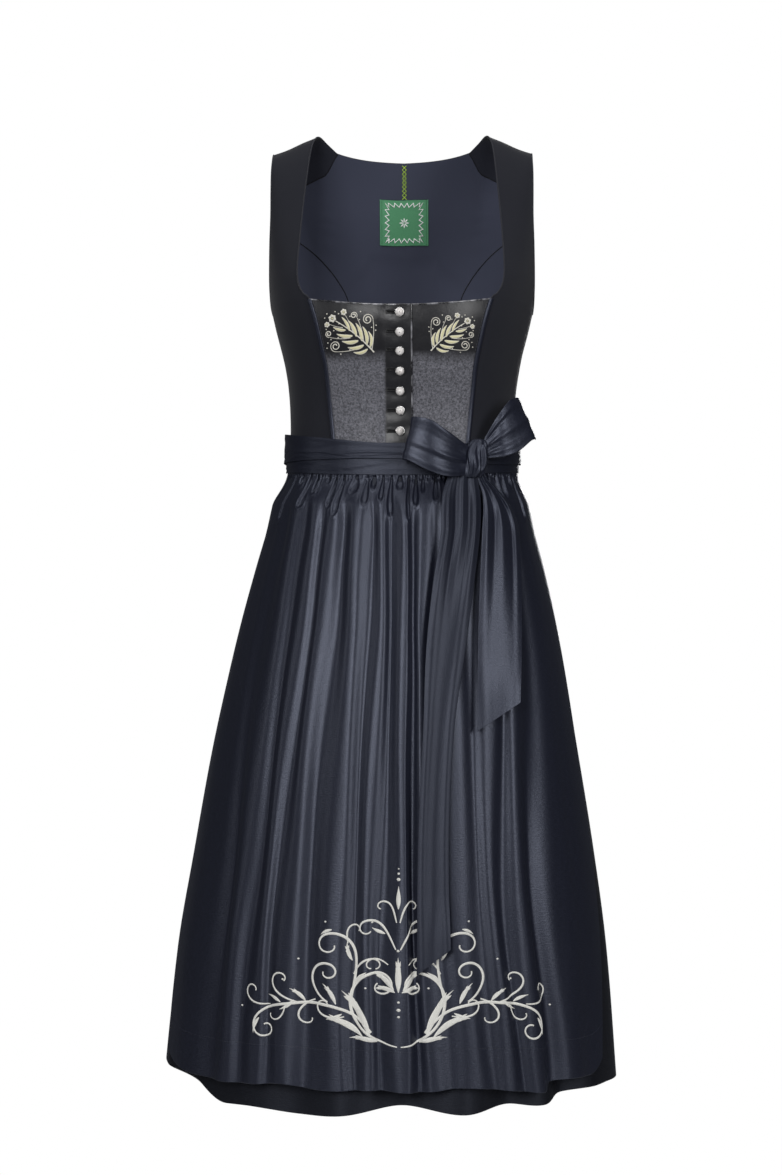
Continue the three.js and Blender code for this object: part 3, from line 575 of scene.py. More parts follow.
def run_of(line):
    """The distance along a line of points, at each of them."""
    return np.concatenate([[0], np.cumsum(np.linalg.norm(np.diff(line, axis=0), axis=1))])


def at_runs(line, run, at):
    """The points of a line at given distances along it."""
    return np.stack([np.interp(at, run, line[:, k]) for k in range(3)], -1)


def running_stitch(line, start, short_of_end, step, length):
    """Even stitches along a line, each as three points."""
    run = run_of(line)
    starts = np.arange(start, run[-1] - short_of_end, step)
    return [at_runs(line, run, at + length * np.array([0, 0.5, 1])) for at in starts]


# The rolled edges' colour is painted highlights: dark leather broken by bright patches that stand for glints
# of light along the roll.
rolled = grained(
    "rolled leather edge, painted glints", (0.060, 0.060, 0.068), 0.20, 160, 0.5, 0.0012, 3,
    Coat_Weight=0.8, Coat_Roughness=0.12,
)
painted_glints = rolled.noise(rolled.object_place((1, 1, 0.6)), 110, 2)
rolled.blend(painted_glints, (0.020, 0.020, 0.024), (0.34, 0.34, 0.37), low_at=0.42, high_at=0.66)
seam_thread = grained("fine thread", (0.11, 0.11, 0.13), 0.6, 3000, 0.3, 0.0003)

over_t = np.linspace(-1, LAP_EDGE / CLOSURE, 90)
under_t = np.linspace(UNDERLAP_EDGE / CLOSURE, 1, 90)
over = leather_grid(over_t)
over = moved_out(over, 1.7 + LAP_RISE * ramp(-0.36, -0.18, over_t)[None, :] + pucker(over))
under = leather_grid(under_t)
under = moved_out(under, 1.7 + 0.5 * pucker(under) * (under[..., 0] > 14))
stitches, rolls = [], []
for node, grid, seam_column, inwards in (
    ("leather_front_right", over, 0, 1),
    ("leather_front_left", under, -1, -1),
):
    hide = leather_finish(node.replace("_", " "), inwards > 0)
    sew_sheet(node, "hide", grid, 1.5, [hide])
    normal = grid_normals(grid)
    beside_seam = (grid + normal * 0.15)[:, seam_column + 3 * inwards]
    stitches += [stitch + [0, -0.1, 0] for stitch in running_stitch(beside_seam, 2, 3, 3.1, 2)]
    rolls.append(grid[-1] + normal[-1] * -0.4 + [0, 0, -0.4])
    if inwards > 0:
        rolls.append(grid[:, -1] - normal[:, -1] * 0.5)
join_as_mesh("leather_topstitch", [threads(stitches, 0.17, seam_thread.material)])
join_as_mesh("leather_rolled_edges", [threads(rolls, 1.05, rolled.material)])


# Satin. Apron, tie and pipings are cut from a dark navy satin with a fine crosswise grain, which
# shines softly along its folds. The tie and its waistband use a copy of it painted darker and less shiny,
# as painted shade; the skirt's satin is the dullest, partly its own duller cloth and partly painted shade.
def satin_finish(name, color, lighter, roughness, specular):
    satin = Finish(
        name, color, roughness, Sheen_Weight=0.03, Sheen_Roughness=0.35, Specular_IOR_Level=specular,
        Anisotropic=0.35, Anisotropic_Rotation=0.25, Sheen_Tint=(0.75, 0.82, 1, 1),
        Specular_Tint=(0.74, 0.80, 1, 1),
    )
    tangent = satin.node("ShaderNodeTangent", direction_type="UV_MAP", uv_map="cloth")
    satin.links.new(tangent.outputs[0], satin.shader.inputs["Tangent"])
    slubs = satin.noise(satin.cloth_place((0.45, 1.3, 1)), 560, 3, 0.65)
    satin.blend(slubs, color, lighter, low_at=0.3, high_at=0.72)
    fine = satin.noise(satin.cloth_place((0.5, 1.4, 1)), 1500, 3, 0.6)
    satin.relief(fine, 0.15, 0.0005)
    satin.relief(slubs, 0.25, 0.0010)
    satin.relief(satin.noise(satin.cloth_place((1, 0.7, 1)), 480, 2), 0.07, 0.0012)
    satin.relief(satin.noise(satin.cloth_place((1, 0.18, 1)), 38, 3), 0.12, 0.0040)
    return satin.material


navy_satin = satin_finish("navy satin", (0.0048, 0.0056, 0.0118), (0.0120, 0.0136, 0.0250), 0.41, 0.80)
# The tie's copy of the satin is painted darker and shines less: painted shade, on the same cloth.
tie_shade_name = "navy satin, painted darker for the tie"
tie_satin_painted_shade = satin_finish(tie_shade_name, (0.0052, 0.0060, 0.0120), (0.0090, 0.0104, 0.0190), 0.46, 0.6)
# The skirt's satin is a duller cloth, and it is also painted darker as painted shade for where it hangs under
# the apron.
skirt_satin_and_shade = satin_finish("navy skirt satin, duller and painted darker", (0.0030, 0.0033, 0.0052), (0.0052, 0.0057, 0.0086), 0.50, 0.40)

# A narrow piping of the satin lies along each leather front's side seam.
piping_t = np.linspace(-1, 1, 9)
piping_lines = [on_body(in_x + 2.2 * piping_t, in_z, "front") for in_x, in_z, *_ in front_rows[:8]]
piping = moved_out(smooth_rows(piping_lines, 90), 2.1 + 1.1 * np.sqrt(1 - (piping_t * 0.92) ** 2)[None, :])
for side, grid in (("left", piping), ("right", other_side(piping))):
    sew_sheet(f"leather_piping_{side}", "satin", grid, 0.5, [navy_satin])


# The embroidery on the leather: on each front a spray of leaves, small flowers and tendrils in
# pale yellow and cream satin stitch, which grows from the closure up towards the strap.
def to_the_left(path):
    """The direction square to a flat path, at each of its points."""
    direction = np.gradient(path, axis=0)
    direction /= np.linalg.norm(direction, axis=1, keepdims=True) + 1e-9
    return np.stack([-direction[:, 1], direction[:, 0]], -1)


def stroke(path, width, place_on, raised=0.45, lift=0.15, sides=5):
    """One stroke of satin stitch along a path on the cloth, as a grid of raised points."""
    path = np.asarray(path, float)
    s = np.linspace(-1, 1, sides)
    half = np.broadcast_to(np.asarray(width, float) / 2, len(path))
    flat = path[:, None, :] + to_the_left(path)[:, None, :] * (s[None, :, None] * half[:, None, None])
    height = lift + raised * np.sqrt(np.maximum(1 - s**2, 0))[None, :] * np.minimum(half / 0.8, 1)[:, None]
    return place_on(flat[..., 0], flat[..., 1], height)


def stitched(name, groups):
    """All strokes of one embroidery as one mesh, with a coordinate across each stroke."""
    positions, faces, uvs, slots, count = [], [], [], [], 0
    for index, (_, strokes) in enumerate(groups):
        for grid in strokes:
            rows, columns = grid.shape[:2]
            positions.append(grid.reshape(-1, 3) / 1000)
            run = run_of(grid[:, columns // 2]) / 1000
            for i in range(rows - 1):
                for j in range(columns - 1):
                    a = count + i * columns + j
                    faces.append((a, a + 1, a + columns + 1, a + columns))
                    lo, hi = j / (columns - 1), (j + 1) / (columns - 1)
                    uvs += [(run[i], lo), (run[i], hi), (run[i + 1], hi), (run[i + 1], lo)]
                    slots.append(index)
            count += rows * columns
    mesh = bpy.data.meshes.new(name)
    mesh.from_pydata(np.concatenate(positions).tolist(), [], faces)
    mesh.uv_layers.new(name="cloth").data.foreach_set("uv", np.array(uvs).reshape(-1))
    put_on(name, mesh, [material for material, _ in groups])
    mesh.polygons.foreach_set("material_index", slots)


def embroidery_thread(name, color, lighter, roughness=0.42):
    floss = Finish(name, color, roughness, Sheen_Weight=0.25, Specular_IOR_Level=0.6)
    rows = floss.node("ShaderNodeUVMap", uv_map="cloth").outputs["UV"]
    turned = {"Vector": rows, "Scale": (1, 0.0011, 1), "Rotation": (0, 0, 0.5)}
    slant = floss.node("ShaderNodeMapping", turned)
    wave = {"Vector": slant.outputs[0], "Scale": 520, "Distortion": 1.2}
    lines = floss.node("ShaderNodeTexWave", wave).outputs["Fac"]
    floss.blend(lines, color, lighter)
    floss.relief(lines, 0.5, 0.0004)
    return floss.material


cream_floss = embroidery_thread("pale yellow floss", (0.80, 0.72, 0.38), (1.0, 0.97, 0.66))
ivory_floss = embroidery_thread("ivory floss", (0.74, 0.70, 0.58), (1.0, 0.98, 0.90))


def bend(start, end, bulge, count=16):
    """A curved line between two points that bulges to one side."""
    start, end = np.array(start, float), np.array(end, float)
    t = np.linspace(0, 1, count)[:, None]
    side = np.array([-(end - start)[1], (end - start)[0]])
    return start + (end - start) * t + side * bulge * 4 * t * (1 - t)


def curl(centre, radius, start, turns):
    """A spiral: it starts on its circle at an angle in degrees and winds inwards."""
    t = np.linspace(0, 1, 40)
    angle = np.radians(start) + 2 * np.pi * turns * t
    r = radius * mix(1, 0.25, t)
    return np.stack([centre[0] + r * np.cos(angle), centre[1] + r * np.sin(angle)], -1)


def leaf_width(count, widest, tip=0.1):
    """The width of a leaf or petal along its vein."""
    t = np.linspace(0, 1, count)
    return widest * (np.sin(np.pi * t**0.8) ** 0.9 + tip * (1 - t))


# The spray's layout on a field 50 wide and 42 high, with the root at the origin and growing up and
# to the side: leaves and stems as start, end, bulge and width; curls as centre, radius, start,
# turns; flowers and dots as centre and size.
spray_leaves = [
    ((4, 5), (5.5, 21), 0.15, 3.4), ((7.5, 7.5), (11.5, 26), 0.11, 3.9),
    ((12.5, 11.5), (18.5, 29.5), 0.09, 4),
    ((18, 16), (26.5, 32.5), 0.08, 3.8), ((25, 22), (33, 36), 0.08, 3.1), ((6.5, 3.5), (21, 0.5), -0.15, 3.4),
    ((10.5, 7.5), (27, 5.5), -0.12, 3.9), ((16, 12), (33, 12), -0.1, 4), ((22, 17), (38.5, 19.5), -0.09, 3.8),
    ((29, 23), (42, 26.5), -0.09, 3.1),
]
spray_stems = [
    ((0, 0), (39.5, 32.5), 0.04, 1.5), ((2.2, 2.5), (0.6, 33), 0.04, 0.9), ((12, 5.2), (40, 1.6), -0.05, 0.9),
    ((24, 15), (46, 16.4), -0.06, 0.8), ((10.5, 10.5), (17.4, 35.5), 0.05, 0.8),
    ((21.5, 20), (29.5, 38), 0.04, 0.7), ((32, 25.5), (46, 29.5), -0.04, 0.7),
]
spray_curls = [
    ((40, 7.2), 5.6, 270, 1.7), ((6.2, 33), 5.6, 180, -1.7), ((47, 19.8), 3.5, 255, 1.5),
    ((20.6, 37.4), 3.6, 210, -1.5),
]
spray_flowers = [((43, 35.2), 4.3), ((31, 41), 3.5), ((48.6, 29.2), 3.1)]
spray_dots = [
    (14.8, 33), (24.5, 36.5), (36.4, 39.6), (40, 41.8), (48.6, 40), (51, 36), (49.5, 24.5), (44.6, 14),
    (48, 10.8), (49, 5.5), (34.5, -1), (25, 3), (-2, 22), (-2.4, 27), (13.5, 41), (2.2, 25), (36, 29.5),
    (41.5, 22.8), (37, 15.6),
]


def beside(path, distance):
    """A path that runs beside another, as far off as said at each of its points."""
    return path + to_the_left(path) * np.reshape(distance, (-1, 1))


def dot(x, z, place_on):
    """A small round knot of stitches."""
    steps = np.linspace(-0.7, 0.7, 5)
    return stroke([(x + step, z) for step in steps], [0.3, 1.1, 1.35, 1.1, 0.3], place_on, 0.4)


def spray(place_on):
    yellow, ivory = [], []
    for start, end, bulge, width in spray_leaves:
        vein, wide = bend(start, end, bulge), leaf_width(16, 0.86 * width)
        yellow.append(stroke(vein, wide, place_on, 0.6))
        for way in (-1, 1):
            ivory.append(stroke(beside(vein, way * wide * 0.45), 0.62, place_on, 0.5, 0.3, 3))
    for start, end, bulge, width in spray_stems:
        ivory.append(stroke(bend(start, end, bulge, 24), np.linspace(width, 0.6 * width, 24), place_on))
    for centre, radius, start, turns in spray_curls:
        ivory.append(stroke(curl(centre, radius, start, turns), np.linspace(0.75, 1.25, 40), place_on))
    for (x, z), size in spray_flowers:
        for k in range(6):
            a = 2 * np.pi * k / 6 + 0.3
            tip = (x + size * np.cos(a), z + size * np.sin(a))
            inside = (x + 0.3 * size * np.cos(a), z + 0.3 * size * np.sin(a))
            ivory.append(stroke(bend(inside, tip, 0, 7), leaf_width(7, 0.72 * size, 0.3), place_on, 0.5))
        centre = [(x - 0.9, z), (x - 0.4, z), (x + 0.4, z), (x + 0.9, z)]
        yellow.append(stroke(centre, [0.4, 1.7, 1.7, 0.4], place_on, 0.7, 0.4))
    for x, z in spray_dots:
        ivory.append(dot(x, z, place_on))
    return yellow, ivory


def on_leather(root_x, root_z, outwards, scale):
    """Where a point of the spray's field lies on one leather front."""
    def place_on(u, v, height):
        return off_body(root_x + outwards * scale * u, root_z + scale * v, "front", LEATHER_FACE + height)

    return place_on


for side, place_on in (
    ("right", on_leather(-27.5, -249.5, -1, 1.03)),
    ("left", on_leather(33, -248, 1, 0.9)),
):
    yellow, ivory = spray(place_on)
    if side == "right":
        yellow, ivory = ([grid[:, ::-1] for grid in strokes] for strokes in (yellow, ivory))
    stitched(f"leather_embroidery_{side}", [(cream_floss, yellow), (ivory_floss, ivory)])


# Seven ball buttons close the front: a pearl set in a polished metal rim, which passes through a
# bound buttonhole worked in dark thread beside it.
pearl = Finish("pearl", (0.86, 0.82, 0.79), 0.16, Coat_Weight=0.8, Coat_Roughness=0.06, Sheen_Weight=0.2)
clouds = pearl.noise(pearl.object_place(), 160, 2)
pearl.blend(clouds, (0.84, 0.79, 0.76), (1.0, 0.97, 0.95), low_at=0.3, high_at=0.7)
rim_metal = grained("polished rim", (0.62, 0.61, 0.60), 0.22, 900, 0.08, 0.0003, Metallic=1.0)
rim_profile = [(3.0, 0), (4.7, 0.2), (5.1, 0.9), (5.15, 1.5), (4.95, 2.1), (4.6, 2.3), (4.35, 2.1)]
pearl_profile = [(4.35 * math.cos(a), 2.1 + 4.05 * math.sin(a)) for a in np.radians(np.arange(0, 89, 6))]
angle = np.linspace(0, 2 * np.pi, 32, endpoint=False)
for number, z in enumerate(BUTTON_Z, 1):
    slope = float(body("front", z + 4) - body("front", z - 4))
    out = np.array([0, -8, -slope]) / math.hypot(8, slope)
    side_way, up_way = np.array([1.0, 0, 0]), np.cross([1.0, 0, 0], out)
    foot = on_body(0.0, z, "front") + out * (LAP_RISE + 1.8 + 0.75)
    ring = np.cos(angle)[:, None] * side_way + np.sin(angle)[:, None] * up_way
    grid = np.array([foot + r * ring + h * out for r, h in rim_profile + pearl_profile])[:, ::-1]
    node, parts = f"button_{number}", [rim_metal.material, pearl.material]
    button = sew(f"{node}_pearl", grid, 0, parts, True, [node])
    rim_faces = len(angle) * len(rim_profile)
    part_of_face = [int(i >= rim_faces) for i in range(len(button.data.polygons))]
    button.data.polygons.foreach_set("material_index", part_of_face)

hole_thread = grained("buttonhole thread", (0.010, 0.010, 0.012), 0.35, 2500, 0.4, 0.0003)
# The slit is a near-black tube laid in the cut: painted shade for the dark gap of the opening.
slit_shade = grained("buttonhole slit", (0.0015, 0.0015, 0.002), 0.9, 2000, 0.2, 0.0003)


def over_leather(x, z, height, up=0.0):
    return on_body(abs(x), z, "front") * [0, 1, 0] + [x, -(LAP_RISE + LEATHER_FACE) - height, z] + [0, 0, up]


bars, shaded_slits = [], []
for z in BUTTON_Z:
    shaded_slits.append([over_leather(x, z, 0.55) for x in (-13.5, -10, -6.5, -3.5)])
    for x in np.arange(-14.0, -3.4, 0.75):
        for way in (-1, 1):
            arch = ((0.35, 0.7), (0.85, 1.3), (0.3, 2.0))
            bars.append([over_leather(x, z, height, way * up) for height, up in arch])
    bars.append([over_leather(-14.6, z, 0.5, up) for up in (-2, -1, 0, 1, 2)])
join_as_mesh("buttonholes", [
    threads(bars, 0.36, hole_thread.material),
    threads(shaded_slits, 0.75, slit_shade.material),
])


# The label inside the back neck: a square of green woven tape, edged with its own stitching and a
# white zigzag, bare but for a small plain flower. A line of lime stitching runs up to the neck.
LABEL_Z = -81.5
ZIGZAG, ZIGZAG_SWING, LABEL_EDGE = 19.8, 2.3, 26.2


def inside_back(x, z, height):
    return off_body(x, z, "back", height)


green = Finish("green woven tape", (0.060, 0.24, 0.115), 0.75, Sheen_Weight=0.2)
weave = green.noise(green.cloth_place((1, 0.4, 1)), 1800, 3, 0.6)
green.blend(weave, (0.050, 0.21, 0.095), (0.110, 0.38, 0.19), low_at=0.3, high_at=0.7)
green.relief(weave, 0.5, 0.0006)
label_x, label_z = np.meshgrid(np.linspace(-28, 28, 29), np.linspace(-107, -56, 27))
wavy = 0.25 * np.sin(label_x / 6) * (np.abs(label_z + 81) > 24)
label = inside_back(label_x, label_z + wavy, 0.85)
sew_sheet("label", "tape", label, 0.7, [green.material])

white = grained("white label thread", (1.0, 1.0, 1.0), 0.9, 2200, 0.4, 0.0003, Sheen_Weight=0.6)
dark_green = grained("dark green thread", (0.008, 0.035, 0.018), 0.7, 2200, 0.3, 0.0003)
lime = grained("lime thread", (0.50, 0.78, 0.05), 0.5, 2200, 0.4, 0.0003, Sheen_Weight=0.2)


def round_square(half, step):
    """Points round a square on the label, in order, from the label's middle."""
    line = np.arange(-half, half, step)
    edge = np.full(len(line), half)
    return np.concatenate([line, edge, -line, -edge]), np.concatenate([-edge, line, edge, -line])


x, z = round_square(ZIGZAG, 3.3)
swing = np.where(np.arange(len(x)) % 2, ZIGZAG_SWING, -ZIGZAG_SWING)
x, z = ((ZIGZAG + swing) / ZIGZAG * place for place in (x, z))
zigzag = inside_back(np.append(x, x[0]), np.append(z, z[0]) + LABEL_Z, 1.15)
inwards, edge_places = np.array([1, 0.972]), zip(*round_square(LABEL_EDGE, 1.6))
edge_dots = [inside_back(x * inwards, z * inwards + LABEL_Z, 1.05) for x, z in edge_places]
from_middle = np.array([1.2, 3.4, 5.6])
petals = [
    inside_back(from_middle * np.cos(a), from_middle * np.sin(a) + LABEL_Z, 1.1)
    for a in 2 * np.pi * np.arange(8) / 8
]
join_as_mesh("label_stitching", [
    threads([zigzag], 0.90, white.material),
    threads(petals, [0.35, 0.85, 0.3], white.material),
    threads(edge_dots, 0.22, dark_green.material),
])
lime_z = np.linspace(-55, -17, 9)
lime_x = np.where(np.arange(len(lime_z)) % 2, 2.4, -2.4)
crossing = [inside_back(lime_x * way + 0.3, lime_z, 0.15 + 0.2 * (way > 0)) for way in (1, -1)]
join_as_mesh("lime_stitching", [threads(crossing, 0.45, lime.material)])


# The skirt: a front and a back panel of duller navy satin, also painted darker as shade under the apron,
# gathered into the waist seam and joined at the side seams. It hangs inside the apron in front and shows
# below and beside it.
SKIRT_OUTLINE = {
    "z": [-350, -378, -426, -482, -538, -594, -678, -790, -902, -1060],
    "half": [130.5, 132.5, 142.5, 158, 172.5, 185, 201.5, 221, 238.5, 252],
    "front": [101, 103.5, 114, 127, 138, 147, 158, 170, 181, 192],
    "back": [88, 91, 108, 125, 138, 148, 160, 173, 184, 195],
    "middle": [-1.5, -2, -2, -2.7, -3.7, -4.8, -6.8, -8.2, -11, -13],
    "squareness": [2.3, 2.3, 2.2, 2.1, 2, 2, 2, 2, 2, 2],
}
BAND_FOOT, APRON_HEM, SKIRT_HEM = -378, -1024, -1052

# The apron's long folds, from the wearer's right to the left: how far each ridge or furrow lies from
# the middle at four heights, and how far it stands out near the waist and at the hem.
FOLD_HEIGHTS = [-390, -538, -807, APRON_HEM]
FOLDS = [
    ([-137.9, -179, -229.7, -254], 0, 0),
    ([-128, -160, -200, -222], 0.8, 1.2),
    ([-119, -148, -180, -203], -1, -1.4),
    ([-110, -132, -166, -187], 2.3, 3.5),
    ([-99, -117, -150, -170], -1.3, -2),
    ([-90, -106, -138, -152], 2, 2.3),
    ([-80, -94, -128, -139], -1.4, -1.6),
    ([-70, -85, -112, -121], 1.7, 2.3),
    ([-58, -68, -92, -100], -2.7, -3.7),
    ([-43, -48, -62, -62], 3.4, 3.7),
    ([-30, -31, -46, -45], -3.6, -3.3),
    ([-20, -19, -32, -31], 1.3, 1.2),
    ([-10, -8, -17, -18], -4.1, -4.4),
    ([3, 6, 6, 8], 4, 4.4),
    ([14, 14, 15, 23], -3.1, -4.2),
    ([26, 23, 25, 38], 1.3, 1.6),
    ([38, 35, 40, 57], -1.4, -1.9),
    ([54, 55, 62, 80], 1.4, 1.6),
    ([72, 77, 82, 103], -2.4, -2.7),
    ([85, 94, 96, 118], 2, 2.3),
    ([97, 108, 109, 133], -1, -1.9),
    ([107, 120, 124, 148], 2, 4.4),
    ([116, 133, 142, 163], -2.3, -4.9),
    ([124, 148, 166, 184], 1, 1.9),
    ([129, 157.5, 188, 201], -0.4, -0.8),
    ([133.3, 166.5, 207.2, 215.7], 0, 0),
]
LAST_FOLD = len(FOLDS) - 1
HEM_LOBES = {
    "x": [-270, -215, -165, -110, -60, 5, 72, 125, 165, 190, 260],
    "out": [0, 2, 5, 1, 7, -7, 7, -4, 3, -4, 0],
    "drop": [0, 3, 0, 4, 2, -6, 2, -3, 2, -4, 0],
}
APRON_DROP = {
    "x": [-257, -190, -150, -121, -91, -22, 22, 69, 119, 150, 156, 162, 210],
    "drop": [0, 3, 1, -2, 2, 1, 3, 0, 6, 11, 10, 2, 2],
}


# A ring is a level round the body or skirt: half its width, its depth in front and at the back, how
# far its middle is shifted, and how square it is.
def figure_ring(z):
    return body("half", z), body("front", z), body("back", z), 0 * z, SQUARENESS + 0 * z


def skirt_ring(z):
    columns = ("half", "front", "back", "middle", "squareness")
    return tuple(along(SKIRT_OUTLINE, "z", column, z) for column in columns)


def on_ring(ring, z, angle, out):
    """Points on a ring at angles from the middle of the front, moved out by a distance."""
    half, front, back, middle, squareness = ring
    s, c = np.sin(angle), np.cos(angle)
    deep = np.where(c > 0, front, back)
    x = half * np.sign(s) * np.abs(s) ** (2 / squareness)
    y = -deep * np.sign(c) * np.abs(c) ** (2 / squareness)
    away_x, away_y = s / half, -c / deep
    size = np.hypot(away_x, away_y)
    parts = np.broadcast_arrays(middle + x + out * away_x / size, y + out * away_y / size, z)
    return np.stack(parts, -1)


def ring_angle(x, ring):
    """The angle at which a ring's front crosses a place across."""
    half, _, _, middle, squareness = ring
    share = np.clip((x - middle) / half, -1, 1)
    return np.sign(share) * np.arcsin(np.abs(share) ** (squareness / 2))


fold_angles = []
for places, _, _ in FOLDS:
    angles = [float(ring_angle(x, skirt_ring(np.float64(z)))) for x, z in zip(places, FOLD_HEIGHTS)]
    fold_angles.append({"z": FOLD_HEIGHTS, "angle": angles})


def near_edge(angle, z, start, end):
    """How near an angle is to the apron's side edge: 0 well inside it, 1 from the edge on."""
    right = -along(fold_angles[0], "z", "angle", z)
    left = along(fold_angles[-1], "z", "angle", z)
    return ramp(-np.radians(start), -np.radians(end), np.abs(angle) - np.where(angle < 0, right, left))


def gathers(count, across_it, shortest, longest, tallest):
    """Small uneven puckers below a gathering seam: their place, width, length, height and slant."""
    rows = []
    for k in range(count):
        place = across_it * (k + 0.5 + dice.uniform(-0.32, 0.32)) / count
        length = dice.uniform(shortest, longest)
        width = dice.uniform(0.26, 0.42) * across_it / count
        rows.append((place, width, length, tallest * dice.uniform(0.35, 1), dice.uniform(-0.5, 0.5)))
    return rows


def gathered(rows, place, below):
    """How far the puckers stand out at a place across the cloth and a distance below the seam."""
    out = 0
    for centre, width, length, tall, slant in rows:
        away = (place - centre - slant * width * below / 25) / (width * (1 + below / 90))
        out = out + tall * hump(away, 0, 1) * ramp(length, length * 0.25, below) * ramp(-2, 7, below)
    return out


back_gathers = gathers(58, 180, 25, 75, 2.6)


def skirt_grid(levels, degrees):
    """The skirt's points at levels down it and degrees round it, from the middle of the front."""
    s, degrees = np.array(levels, float)[:, None], np.array(degrees, float)[None, :]
    angle = np.radians(np.where(degrees > 180, degrees - 360, degrees))
    ring = skirt_ring(s)
    x = ring[3] + ring[0] * np.sin(angle)
    # behind: small puckers under the seam, eleven deep folds and a finer ripple over them
    behind = ramp(math.radians(92), math.radians(108), np.abs(angle))
    turn = (degrees - 90) / 180
    puckers = gathered(back_gathers, degrees - 90, WAIST_SEAM - s)
    puckers = puckers * ramp(86, 94, degrees) * ramp(274, 266, degrees)
    uneven = 1.4 * np.sin(7 * turn) + 0.5 * np.sin(19 * turn) + 0.25 * np.sin(s / 95 + 9 * turn)
    wave = np.cos(2 * np.pi * 11 * turn + uneven)
    shape = np.where(wave > 0, 1 - (1 - wave) ** 1.4, -np.abs(wave) ** 1.15)
    folds = behind * 9 * (shape - 0.3) * ramp(BAND_FOOT - 12, -560, s)
    ripple = np.sin(2 * np.pi * 27 * turn + 3 * np.sin(5 * turn) + s / 120)
    folds += behind * 1.4 * ripple * ramp(-400, -470, s) * ramp(-900, -560, s)
    # in front: the waves of the hem, and the room that the apron's layers take
    in_front = ramp(math.radians(88), math.radians(72), np.abs(angle))
    lobes = 1.5 * in_front * along(HEM_LOBES, "x", "out", x) * ramp(-640, SKIRT_HEM, s)
    drop = in_front * along(HEM_LOBES, "x", "drop", x) * ramp(-900, SKIRT_HEM, s)
    covered = 1 - near_edge(angle, s, 16, 0)
    gap = mix(mix(7, 14, ramp(-390, -450, s)), 20, ramp(-600, -1000, s))
    rise = 26 * ramp(-195, -262, x) + 8 * ramp(140, 245, x)
    z = s - drop + rise * ramp(-880, SKIRT_HEM, s) * ramp(math.pi, math.pi / 2, np.abs(angle))
    fade = 1 - ramp(BAND_FOOT - 8, BAND_FOOT - 70, s)
    top = on_ring(figure_ring(z), z, angle, 1.9 + puckers * 0.5 + 0.3 * fade)
    hanging = on_ring(ring, z, angle, puckers + folds + lobes - covered * gap)
    return mix(top, hanging, ramp(BAND_FOOT - 1, -412, s)[..., None])


skirt_levels = np.concatenate([np.linspace(SKIRT_HEM, -520, 56), np.linspace(-510, WAIST_SEAM, 48)])
for node, degrees, lies_on in (
    ("skirt_front", np.linspace(-90, 90, 150), "front_panel_left_cloth"),
    ("skirt_back", np.linspace(90, 270, 330), "back_panel_cloth"),
):
    grid = skirt_grid(skirt_levels, degrees)
    sew_sheet(node, "satin", grid, 0.7, [skirt_satin_and_shade])


# The apron: one panel of shiny navy satin, gathered by hand into its waistband. Its gathers run out
# into long soft folds, and its side edges and hem are turned and sewn.
#
# The gathers are deep pockets with small ones between them, unevenly placed along the band: place
# in folds, half width, length, depth and slant.
POCKETS, SMALL_POCKETS, MIDDLE = 29, 64, LAST_FOLD / 2
pockets = []
for k in range(POCKETS):
    place = 0.45 + 24.1 * (k + 0.5 + dice.uniform(-0.25, 0.25)) / POCKETS
    slant = (place - MIDDLE) / MIDDLE * dice.uniform(0.1, 0.9) + dice.uniform(-0.25, 0.25)
    length = dice.choice([dice.uniform(9, 18), dice.uniform(20, 34), dice.uniform(34, 58)])
    inside = ramp(0.4, 2.6, min(place, LAST_FOLD - place))
    half = dice.uniform(0.17, 0.29) * mix(0.35, 1, inside)
    pockets.append((place, half, length, dice.uniform(2.2, 3.8) * mix(0.4, 1, inside), slant))
for k in range(SMALL_POCKETS):
    place = 0.3 + 24.4 * (k + 0.5 + dice.uniform(-0.3, 0.3)) / SMALL_POCKETS
    pockets.append((place, dice.uniform(0.07, 0.11), dice.uniform(3.5, 8), dice.uniform(1.0, 1.8), 0))


def pocketed(t, below):
    """The gathers: each is a narrow pocket with a rounded end and a raised rim."""
    out = 0.9 * ramp(0, 14, below) * ramp(70, 40, below)
    for place, half, length, deep, slant in pockets:
        widening = mix(0.45, 1, ramp(0, length * 0.75, below))
        u = (t - place - 0.42 * slant * (below / 30) ** 1.2) / (half * widening)
        near_end = np.sqrt(np.maximum(1 - np.clip(u / 1.3, -1, 1) ** 2, 0))
        end = length - 7 * (1 - near_end) * min(length / 20, 1)
        pit = ramp(end, end - min(5, length * 0.4), below) / (1 + np.abs(u) ** 5)
        wall = hump(np.abs(u), 1.35, 0.4) * ramp(length + 8, length - 6, below)
        foot = hump(below, end + 1.4, 1.7) * ramp(1.6, 1.0, np.abs(u))
        out = out - deep * pit + 0.24 * deep * np.maximum(wall, foot)
    return out * ramp(-1.5, 4, below)


def band_foot(angle):
    """The height of the waistband's lower edge, which dips a little in front."""
    return BAND_FOOT + 3 - 6 * np.maximum(np.cos(angle), 0) ** 2


